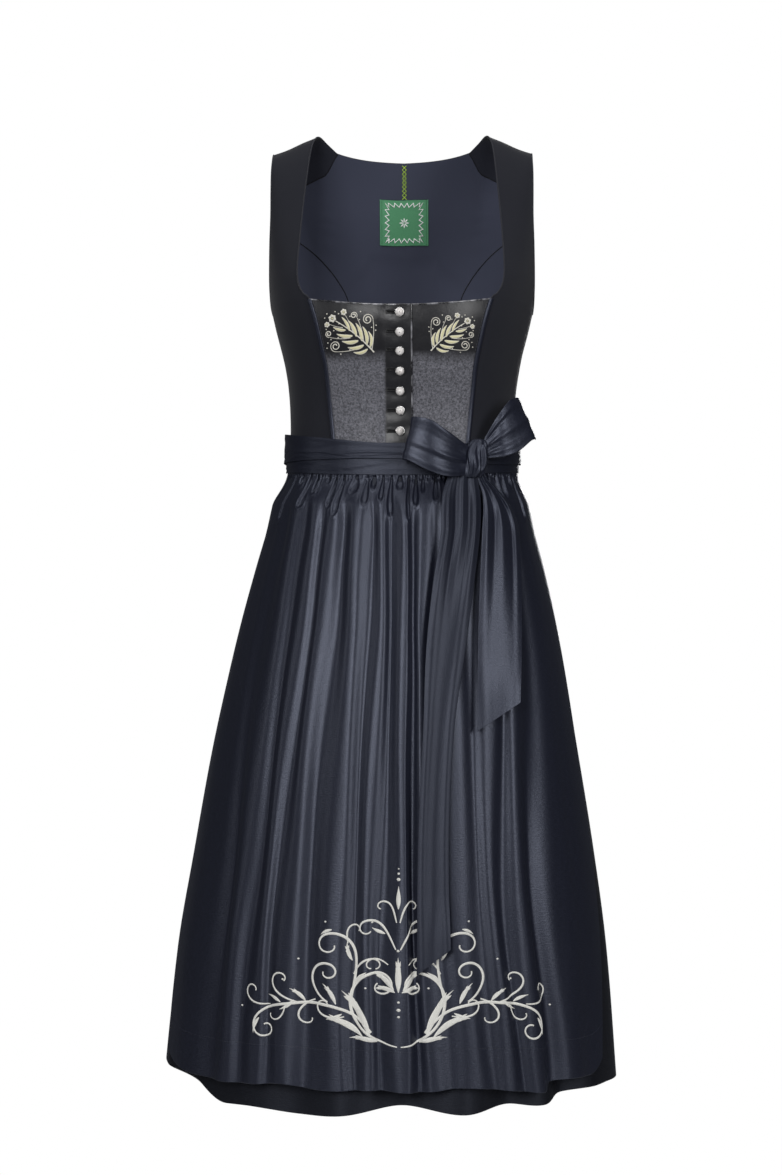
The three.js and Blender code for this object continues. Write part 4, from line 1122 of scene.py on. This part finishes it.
def apron_grid(levels, columns):
    """The apron's points: columns are counted in folds, and each fold runs down its own line."""
    s, t = np.array(levels, float)[:, None], np.array(columns, float)[None, :]
    lines = np.stack([along(line, "z", "angle", s[:, 0]) for line in fold_angles], 1)
    low = ramp(-480, -900, s)
    outs = np.stack([mix(upper, hem, low[:, 0]) for _, upper, hem in FOLDS], 1)
    inner = ramp(0, 2, t) * ramp(LAST_FOLD, LAST_FOLD - 2, t) * ramp(APRON_HEM, -990, s) * ramp(-385, -450, s)
    wander = t + 0.10 * np.sin(s / 70 + 2.3 * t) * inner
    i = np.clip(np.floor(wander).astype(int), 0, LAST_FOLD - 1)
    f = wander - i
    j = np.arange(len(levels))[:, None]
    k = np.clip(np.floor(t).astype(int), 0, LAST_FOLD - 1)
    angle = mix(lines[j, k], lines[j, k + 1], t - k)
    a, b = outs[j, i], outs[j, i + 1]
    falling = (1 - np.cos(np.pi * f**1.3)) / 2
    rising = 1 - (1 - np.cos(np.pi * (1 - f) ** 1.3)) / 2
    out = mix(a, b, np.where(a > b, falling, rising))
    corner = 15 * np.maximum(0, 1 - np.minimum(t, LAST_FOLD - t)) ** 2
    dip = (band_foot(angle) - BAND_FOOT) * ramp(-430, BAND_FOOT, s)
    ring = skirt_ring(s)
    drop = along(APRON_DROP, "x", "drop", ring[3] + ring[0] * np.sin(angle)) * ramp(-940, APRON_HEM, s)
    z = s + dip - drop + corner * ramp(-900, APRON_HEM, s)
    below = BAND_FOOT - s
    puckers = pocketed(t, np.maximum(below, 0)) * ramp(-2, 3, below)
    top = on_ring(figure_ring(z), z, angle, 4.1 + puckers)
    lift = 3.6 * near_edge(angle, s, 24, 10)
    hanging = on_ring(ring, z, angle, lift + out * ramp(BAND_FOOT - 6, -440, s) + puckers)
    return mix(top, hanging, ramp(BAND_FOOT, BAND_FOOT - 34, s)[..., None])


apron_levels = np.concatenate([np.linspace(APRON_HEM, -472, 40), np.linspace(-464, BAND_FOOT + 4, 64)])
apron = apron_grid(apron_levels, np.linspace(0, LAST_FOLD, 401))
sew_sheet("apron", "satin", apron, 0.5, [navy_satin])


# The embroidery above the apron's hem: scrolls, leaves and a palmette in silvery satin stitch, the
# same on both sides of the middle. Widths and lengths are millimetres on the flat cloth.
def scroll(start, heading, bends, step=1.2):
    """A line of stitching: it sets off at a heading in degrees, and each bend is a length and how
    sharply the line turns at its start and its end, in degrees for each millimetre."""
    points = [np.array(start, float)]
    angle = math.radians(heading)
    for length, first, last in bends:
        count = max(int(length / step), 2)
        for k in range(count):
            angle += math.radians(first + (last - first) * (k + 0.5) / count) * length / count
            points.append(points[-1] + np.array([math.cos(angle), math.sin(angle)]) * length / count)
    return np.array(points)


def swelling(count, ends, middle, peak=0.4):
    """The width of a line that is thin at its ends and widest at its peak."""
    t = np.linspace(0, 1, count)
    first, last = ends
    rise = np.sin(np.pi * t ** (math.log(0.5) / math.log(peak))) ** 1.3
    return first + (last - first) * t + (middle - (first + last) / 2) * rise


def leaf(root, heading, length, width, bend, teeth):
    """A leaf as its blade and the teeth along both of its edges: paths and their widths."""
    blade = scroll(root, heading, [(length, bend, bend * 1.6)], 0.9)
    parts = [(blade, swelling(len(blade), (0.8, 0.4), width, 0.42))]
    for k in range(teeth):
        i = int(len(blade) * (0.35 + 0.5 * k / teeth))
        ahead = blade[i + 1] - blade[i]
        for side in (-1, 1):
            out = math.degrees(math.atan2(ahead[1], ahead[0])) + side * 26
            tooth = scroll(blade[i], out, [(width * 1.15, -side * 1.2, -side * 3)], 0.8)
            parts.append((tooth, swelling(len(tooth), (width * 0.4, 0.3), width * 0.42, 0.4)))
    return parts


# Half of the hem's embroidery. Lines: start, heading, bends, widths at the ends and the widest.
HEM_LINES = [
    # the heart-shaped pair of volutes at the foot
    ((1.5, 0), 6, [(62, 1.1, 1.3), (38, 1.3, 2.2), (44, 2.2, 6.5), (18, 6.5, 12)], (1.0, 1.3), 2.7),
    # the long arm that runs out along the hem and curls down
    ((26, 14), 60, [(40, -0.9, -1.1), (50, -1, -0.2), (34, -0.4, -2.6), (40, -2.6, -9), (8, -9, -14)],
     (2, 1.3), 2.3),
    # its branches, which curl up and down
    ((64, 45), 30, [(26, 1.6, 2.0), (24, 2.6, 4.6), (28, 4.6, 10), (8, 10, 15)], (1.4, 1.3), 2.2),
    ((93, 43), 16, [(24, 0.5, 2.2), (22, 3.0, 8), (12, 8, 15)], (1.1, 1.2), 1.8),
    ((119, 39), -10, [(20, 1.0, 3.0), (22, 3.5, 10), (8, 10, 16)], (0.9, 1.1), 1.6),
    ((76, 47), -20, [(18, -1.2, -2.8), (22, -3.2, -10), (6, -10, -16)], (1.1, 1.1), 1.8),
    # the upper pair of stems, which bend out and roll back
    ((43, 50), 98, [(40, 0.25, -0.7), (34, -1.2, -3.2), (38, -3.2, -8), (8, -8, -13)], (1.8, 1.3), 2.4),
    ((41, 74), 112, [(16, 0.8, 2.6), (18, 3.0, 9), (8, 10, 16)], (1.0, 1.1), 1.7),
    ((46, 106), 82, [(12, -0.4, 2.8), (14, 4.0, 12), (6, 12, 18)], (1.0, 1.1), 1.6),
    # the pair at the top, under the finial
    ((2, 100), 66, [(26, 0.2, -1.0), (24, -2.2, -7), (18, -7, -13)], (1.2, 1.2), 2.0),
    ((1.5, 128), 76, [(16, 0.6, -1.6), (14, -3.5, -10), (9, -11, -18)], (1.0, 1.1), 1.7),
    # small tendrils
    ((50, 30), -12, [(18, 0.8, 3.0), (20, 3.6, 10), (7, 10, 16)], (1.0, 1.2), 1.7),
    ((9, 84), 40, [(12, -0.8, -3.0), (14, -4.5, -12), (5, -12, -18)], (0.9, 1.0), 1.4),
    ((104, 38), -80, [(12, 0.8, 3.0), (12, 4.5, 12), (5, 12, 18)], (0.9, 1.0), 1.4),
]
# Leaves: root, heading, length, width, how the leaf bends, and how many teeth it has on each side.
HEM_LEAVES = [
    ((27, 10), 76, 54, 7.4, -0.42, 5), ((33, 9), 50, 42, 6.4, -0.7, 4), ((20, 4), 22, 26, 4.8, -0.8, 2),
    ((57, 43), 76, 24, 4.6, -1.0, 2), ((86, 44), 60, 19, 3.9, -1.4, 2), ((108, 42), 40, 15, 3.4, -1.4, 1),
    ((96, 45), -52, 17, 3.8, 1.2, 1), ((130, 24), -52, 18, 3.8, -1.6, 1), ((42, 88), 60, 20, 4.2, 1.3, 2),
    ((40, 66), 128, 15, 3.6, 0.9, 1), ((12, 116), 18, 14, 3.4, 1.2, 0), ((4, 58), 62, 27, 5.6, -1.1, 2),
    ((3, 56), 32, 20, 4.6, -1.8, 2), ((60, 120), -10, 12, 3.0, -2.4, 0), ((52, 33), -36, 15, 3.4, 1.4, 1),
]
# On the middle line: the palmette's centre leaf and the finial.
HEM_MIDDLE = [((0, 56), 90, 36, 6.6, 0, 3), ((0, 142), 90, 24, 5.0, 0, 0)]
HEM_DOTS = [
    (0, 173, 1.7), (0, 179, 1.2), (0, 184, 0.8), (0, 38, 1.7), (0, 31, 1.2), (0, 46, 1.2), (150, 34, 1.0),
    (24, 128, 1.0), (66, 128, 1.0), (0, 99, 1.3), (106, 66, 1.0), (30, 60, 1.0), (92, 88, 1.0),
]


# Where a point of the flat cloth lies on the apron: u across from the middle, v up from the hem.
HEM_ABOVE, SPREAD = 47, 1.24
STEP_UP, REACH = 3.0, 240
lattice_v = np.arange(0, 262, STEP_UP)
lattice_u = np.arange(-REACH, REACH + 1, 1.0)
middle_column = int(np.argmin(np.abs(apron[6, :, 0])))
upwards = run_of(apron[:, middle_column])


def apron_row(height):
    """The line across the apron at a height above its hem, along the cloth."""
    row = np.interp(height, upwards, np.arange(len(upwards)))
    return int(row), mix(apron[int(row)], apron[int(row) + 1], row - int(row))


lattice = []
for v in lattice_v:
    _, line = apron_row(v)
    run = run_of(line)
    lattice.append(at_runs(line, run - run[middle_column], lattice_u))
lattice = np.array(lattice)
lattice_normals = grid_normals(lattice)


def on_apron(u, v, height):
    row = np.clip((v + HEM_ABOVE) / STEP_UP, 0, len(lattice_v) - 1.001)
    column = np.clip(u + REACH, 0, len(lattice_u) - 1.001)
    i, j = row.astype(int), column.astype(int)
    a, b = (row - i)[..., None], (column - j)[..., None]
    point, normal = (
        mix(mix(g[i, j], g[i, j + 1], b), mix(g[i + 1, j], g[i + 1, j + 1], b), a)
        for g in (lattice, lattice_normals)
    )
    return point + normal * np.broadcast_to(height, u.shape)[..., None]


half = []
for start, heading, bends, ends, middle in HEM_LINES:
    path = scroll(start, heading, bends)
    half.append((path, 1.25 * swelling(len(path), ends, middle)))
for row in HEM_LEAVES:
    half += leaf(*row)
for u, v, radius in HEM_DOTS:
    path = np.array([(u + radius * x, v) for x in (-1, -0.5, 0, 0.5, 1)])
    half.append((path, radius * 2 * np.array([0.25, 0.85, 1, 0.85, 0.25])))
hem_strokes = []
for k, (path, width) in enumerate(half):
    for mirror in (1, -1):
        grid = stroke(path * [mirror * SPREAD, 1], width, on_apron, 0.55, 0.16 + 0.03 * (k % 5))
        hem_strokes.append(grid[:, ::-1] if mirror > 0 else grid)
for row in HEM_MIDDLE:
    for path, width in leaf(*row):
        hem_strokes.append(stroke(path, width, on_apron, 0.55, 0.2)[:, ::-1])

# The turned hem is held by a row of small stitches.
HEM_TURN = 42
row, hem_line = apron_row(HEM_TURN)
hem_line = hem_line + grid_normals(apron)[row] * 0.12
hem_thread = grained("navy sewing thread", (0.030, 0.033, 0.052), 0.5, 2500, 0.3, 0.0003)
hem_stitches = running_stitch(hem_line, 3, 5, 3.6, 2.6)
join_as_mesh("apron_hem_stitching", [threads(hem_stitches, 0.22, hem_thread.material)])
silver_floss = embroidery_thread("silvery floss", (0.80, 0.78, 0.70), (1.0, 1.0, 0.97), 0.36)
stitched("apron_embroidery", [(silver_floss, hem_strokes)])


# The waistband that the apron is gathered into, and the tie, which is sewn to its ends, wrapped
# once round the waist over it and pulled in soft lengthwise creases.
def creases(rows, s, t):
    """Soft lengthwise ridges and troughs: the height each runs at, its width and its depth."""
    out = 0
    for place, width, tall, phase in rows:
        line = place + 0.10 * np.sin(2.1 * t + phase) + 0.05 * np.sin(5.3 * t + 2 * phase)
        out = out + tall * hump(s, line, width) * (0.65 + 0.35 * np.sin(3.7 * t + 3 * phase))
    return out


s = np.linspace(0, 1, 19)[:, None]
angle = np.radians(np.linspace(-88, 88, 180))[None, :]
z = mix(band_foot(angle) + 0.3, -346, s)
band_rows = [(0.16, 0.03, -0.7, 1), (0.34, 0.035, -0.7, 2.2), (0.25, 0.04, 0.5, 4)]
band_creases = creases(band_rows, s, angle * 1.3)
band = on_ring(figure_ring(z), z, angle, 5.7 + band_creases)
# The waistband takes the tie's darker copy of the satin, painted shade.
sew_sheet("apron_waistband", "satin", band, 0.7, [tie_satin_painted_shade])

WAIST_TIE = {
    "angle": [-270, -180, -90, -45, 0, 45, 90, 180, 270],
    "top": [-331, -330, -331, -338, -347, -345, -331, -330, -331],
    "foot": [-365, -368, -364, -363, -363, -368, -365, -368, -364],
}
s = np.linspace(0, 1, 33)[:, None]
degrees = np.linspace(-180, 180, 361)[:-1][None, :]
foot = along(WAIST_TIE, "angle", "foot", degrees)
z = mix(foot, along(WAIST_TIE, "angle", "top", degrees), s)
turn = np.radians(degrees)
tie_rows = [
    (0.08, 0.05, 0.6, 0.3), (0.24, 0.035, -1.1, 1.4), (0.36, 0.07, 0.5, 2.6), (0.62, 0.12, -0.5, 3.5),
    (0.86, 0.10, 0.5, 5.6),
]
tie = on_ring(figure_ring(z), z, turn, 7.9 + creases(tie_rows, s, np.sin(turn) + 2 * np.cos(turn)))
# The wrapped tie takes the darker copy of the satin, painted shade.
sew_sheet("waist_tie", "satin", tie, 0.8, [tie_satin_painted_shade], closed=True)

# The two free ends of the tie hang from the knot over the apron's folds. Both are cut on a slant.
LONG_END = {
    "z": [-905, -765, -650, -567, -494, -443, -418, -400, -384.2, -374],
    "right": [19.3, 20.5, 25.6, 28.6, 36, 44, 44.5, 46, 51, 56],
    "left": [55, 53, 58.5, 70.5, 80, 86, 87, 86, 83, 82],
}
SHORT_END = {
    "z": [-654, -540, -443, -418, -400, -384.2, -374],
    "right": [82.8, 84, 88, 89.5, 88.5, 83.4, 82],
    "left": [129, 131, 129, 122, 109, 94, 90],
}


def hanging_end(table, slant, folds, wave, tilt):
    """One end of the tie. Folds: where each starts across the end, its width, how far it stands out
    and how far it wanders towards the foot."""
    s = np.linspace(table["z"][0], table["z"][-1], 130)[:, None]
    t = np.linspace(0, 1, 45)[None, :]
    x = mix(along(table, "z", "right", s), along(table, "z", "left", s), t)
    half, front, back, middle, squareness = skirt_ring(s)
    out = mix(7.4, 8.7, ramp(-385, -440, s)) + wave * np.sin(9 * t) * ramp(-386, -420, s)
    out = out + tilt * t * ramp(-410, -560, s)
    for place, width, tall, drift in folds:
        low = ramp(-390, table["z"][0], s)
        line = mix(place, place + drift, low)
        size = tall * mix(1, 0.12, ramp(-400, -560, s)) * mix(0.5, 1, ramp(-378, -420, s))
        out = out + size * hump(t, line, width * mix(1, 1.5, low))
    half, front = half + out, front + out
    angle = np.arcsin((np.abs(x - middle) / half) ** (squareness / 2))
    z = s + slant * t * ramp(table["z"][0] + 90, table["z"][0], s)
    return on_ring((half, front, back, middle, squareness), z, angle, 0)


long_folds = [
    (0.16, 0.07, 2.2, -0.04), (0.36, 0.05, -1.8, -0.06), (0.52, 0.08, 2.4, 0.02), (0.70, 0.05, -1.6, 0.05),
    (0.86, 0.07, 1.8, 0.03),
]
short_folds = [
    (0.14, 0.07, 1.8, -0.02), (0.34, 0.06, -1.6, -0.08), (0.55, 0.10, 2.4, 0.05), (0.78, 0.05, -1.4, 0.04),
    (0.9, 0.06, 1.4, 0),
]
# The long end takes the tie's darker copy of the satin, painted shade; the short end takes the apron's satin.
for node, grid, satin in (
    ("tie_end_long", hanging_end(LONG_END, 26, long_folds, 1.2, 0), tie_satin_painted_shade),
    ("tie_end_short", hanging_end(SHORT_END, 30, short_folds, 0.3, 7), navy_satin),
):
    sew_sheet(node, "satin", grid, 0.8, [satin])

# The bow's two loops: the ribbon runs out from the knot, turns over and comes back in front, with
# folds that spread out from the knot. One row for each station from the knot outwards: the upper
# corner, the lower corner, and how far forward the back and the front layer lie.
RIGHT_LOOP = [
    ((72.4, -350), (72.4, -381), 94.6, 99.4),
    ((51, -335), (51, -383), 103, 116),
    ((33, -323), (31, -377), 107, 122),
    ((19, -320), (9, -366), 109, 120),
]
LEFT_LOOP = [
    ((90.8, -341), (93.1, -362), 82, 88),
    ((106, -315), (112, -360), 75, 90),
    ((117, -300), (129, -353), 66, 82),
    ((124, -296), (143, -341), 55, 71),
]


def bow_loop(stations, seed):
    """One loop, from the knot out along its back layer, round its tip and back along the front."""
    tip_shift = 0.1 * (stations[-1][0][0] - stations[0][0][0])
    (top_x, top_z), (foot_x, foot_z), back, front = stations[-1]
    tip = ((top_x + tip_shift, top_z), (foot_x + tip_shift, foot_z), (back + front) / 2)
    path = [(top, foot, back) for top, foot, back, _ in stations] + [tip]
    path += [(top, foot, front) for top, foot, _, front in stations[::-1]]
    corners = [((foot[0], -deep, foot[1]), (top[0], -deep, top[1])) for top, foot, deep in path]
    if tip_shift > 0:
        corners.reverse()
    path = smooth_rows(corners, 97)
    s = np.linspace(0, 1, 37)[:, None, None]
    grid = mix(path[None, :, 0], path[None, :, 1], s)
    t = np.linspace(0, 1, 97)[None, :]
    out_from_knot = np.minimum(t, 1 - t) * 2
    s = s[..., 0]
    folds = 0
    for k in range(5):
        line = (k + 0.5) / 5 + 0.05 * np.sin(seed + 2.1 * k) + 0.06 * np.sin(1.9 * k + seed) * out_from_knot
        width = 0.055 + 0.05 * out_from_knot
        tall = (1.5, -1.1, 1.8, -1.0, 1.4)[k] * mix(1, 0.55, out_from_knot)
        folds = folds + tall * hump(s, line, width) * ramp(0, 0.12, out_from_knot)
    return moved_out(grid, 1.2 + folds)


for node, stations, seed in (("bow_loop_right", RIGHT_LOOP, 0.4), ("bow_loop_left", LEFT_LOOP, 2.0)):
    grid = bow_loop(stations, seed)
    sew_sheet(node, "satin", grid, 0.8, [navy_satin])

# The knot: a turn of the tie pulled tight round the loops, in upright folds.
KNOT_PLACE, KNOT_HALF, KNOT_TURN = (80.5, -93.5, -363), (13.5, 10, 21.5), 27
rise = np.linspace(-0.995, 0.995, 49)[:, None] * np.pi / 2
around = np.linspace(0, 2 * np.pi, 120, endpoint=False)[None, :]
lean = 0.55 * np.sin(rise)
grooves = 0.14 * np.cos(6 * around + 1.4 * np.sin(2 * around + 1) + 3.4 * lean + 1.2 * np.sin(2 * rise))
grooves = grooves + 0.06 * np.cos(13 * around - 2.5 * lean + 2 * np.sin(3 * rise))
size = np.abs(np.cos(rise)) ** 0.62 * (1 + grooves * np.cos(rise) ** 0.4) * (1 - 0.13 * np.sin(rise))
wide, deep, tall = KNOT_HALF
across = wide * size * np.cos(around) + 3.0 * np.sin(rise)
back = deep * size * np.sin(around)
up = tall * np.sign(rise) * np.abs(np.sin(rise)) ** 0.9 + 2.2 * np.cos(around) * np.cos(rise)
c, s = math.cos(math.radians(KNOT_TURN)), math.sin(math.radians(KNOT_TURN))
knot = np.stack([c * across - s * back, s * across + c * back, up], -1) + KNOT_PLACE
sew_sheet("bow_knot", "satin", knot, 0.8, [navy_satin], closed=True)


# The studio: a pale floor under the hanging dress, a white surround, a large soft light from the
# front left and weaker ones from the right, above and behind.
def soft_light(name, place, aim, size, power):
    light = bpy.data.lights.new(name, "AREA")
    light.shape = "RECTANGLE"
    light.size, light.size_y = size
    light.energy = power
    lamp = bpy.data.objects.new(name, light)
    bpy.context.collection.objects.link(lamp)
    lamp.location = place
    direction = np.array(aim, float) - np.array(place, float)
    lamp.rotation_euler = mathutils.Vector(direction).to_track_quat("-Z", "Y").to_euler()


soft_light("key", (-0.75, -2.75, 0.25), (0, 0, -0.7), (1.0, 1.2), 36)
soft_light("fill", (1.9, -2.2, 0.2), (0, 0, -0.5), (0.8, 1.6), 30)
soft_light("side", (-2.2, -0.9, 0.2), (0, 0, -0.55), (0.6, 1.8), 5)
soft_light("top", (0, -0.5, 1.6), (0, 0, -0.3), (1.4, 1.4), 12)
soft_light("behind", (0.3, 2.7, 0.4), (0, 0, -0.5), (1.2, 2.0), 70)

bpy.ops.mesh.primitive_circle_add(vertices=96, radius=0.78, fill_type="NGON", location=(0, 0, -1.40))
floor = bpy.context.object
floor.name = "floor"
paper = grained("floor paper", (0.86, 0.86, 0.85), 0.9, 80, 0.02)
floor.data.materials.append(paper.material)

# Soft pale light from all round, which the camera sees as plain white.
world = bpy.data.worlds.new("studio")
bpy.context.scene.world = world
world.use_nodes = True
nodes, links = world.node_tree.nodes, world.node_tree.links
background = nodes["Background"]
surround = nodes.new("ShaderNodeBackground")
chooser = nodes.new("ShaderNodeMixShader")
path = nodes.new("ShaderNodeLightPath")
for node, color, strength in ((background, (0.9, 0.93, 1, 1), 0.065), (surround, (1, 1, 1, 1), 1)):
    node.inputs["Color"].default_value = color
    node.inputs["Strength"].default_value = strength
links.new(path.outputs["Is Camera Ray"], chooser.inputs[0])
links.new(background.outputs[0], chooser.inputs[1])
links.new(surround.outputs[0], chooser.inputs[2])
links.new(chooser.outputs[0], nodes["World Output"].inputs["Surface"])
bpy.context.scene.view_settings.view_transform = "Standard"

# The camera stands level with the thighs, a little to the right of the middle. Its view takes in
# 1316 mm at the dress's distance of 2600 mm.
camera_data = bpy.data.cameras.new("camera")
camera_data.sensor_width = 36
camera_data.sensor_fit = "AUTO"
camera_data.lens = 36 * 2600 / 1316
DISTANCE, MIDDLE_X, LEVEL = 2.6, -0.0129, -0.502
camera = bpy.data.objects.new("camera", camera_data)
bpy.context.collection.objects.link(camera)
turn = math.radians(1.7)
camera.location = (MIDDLE_X + DISTANCE * math.sin(turn), -DISTANCE * math.cos(turn), LEVEL)
camera.rotation_euler = (math.pi / 2, 0, turn)
bpy.context.scene.camera = camera
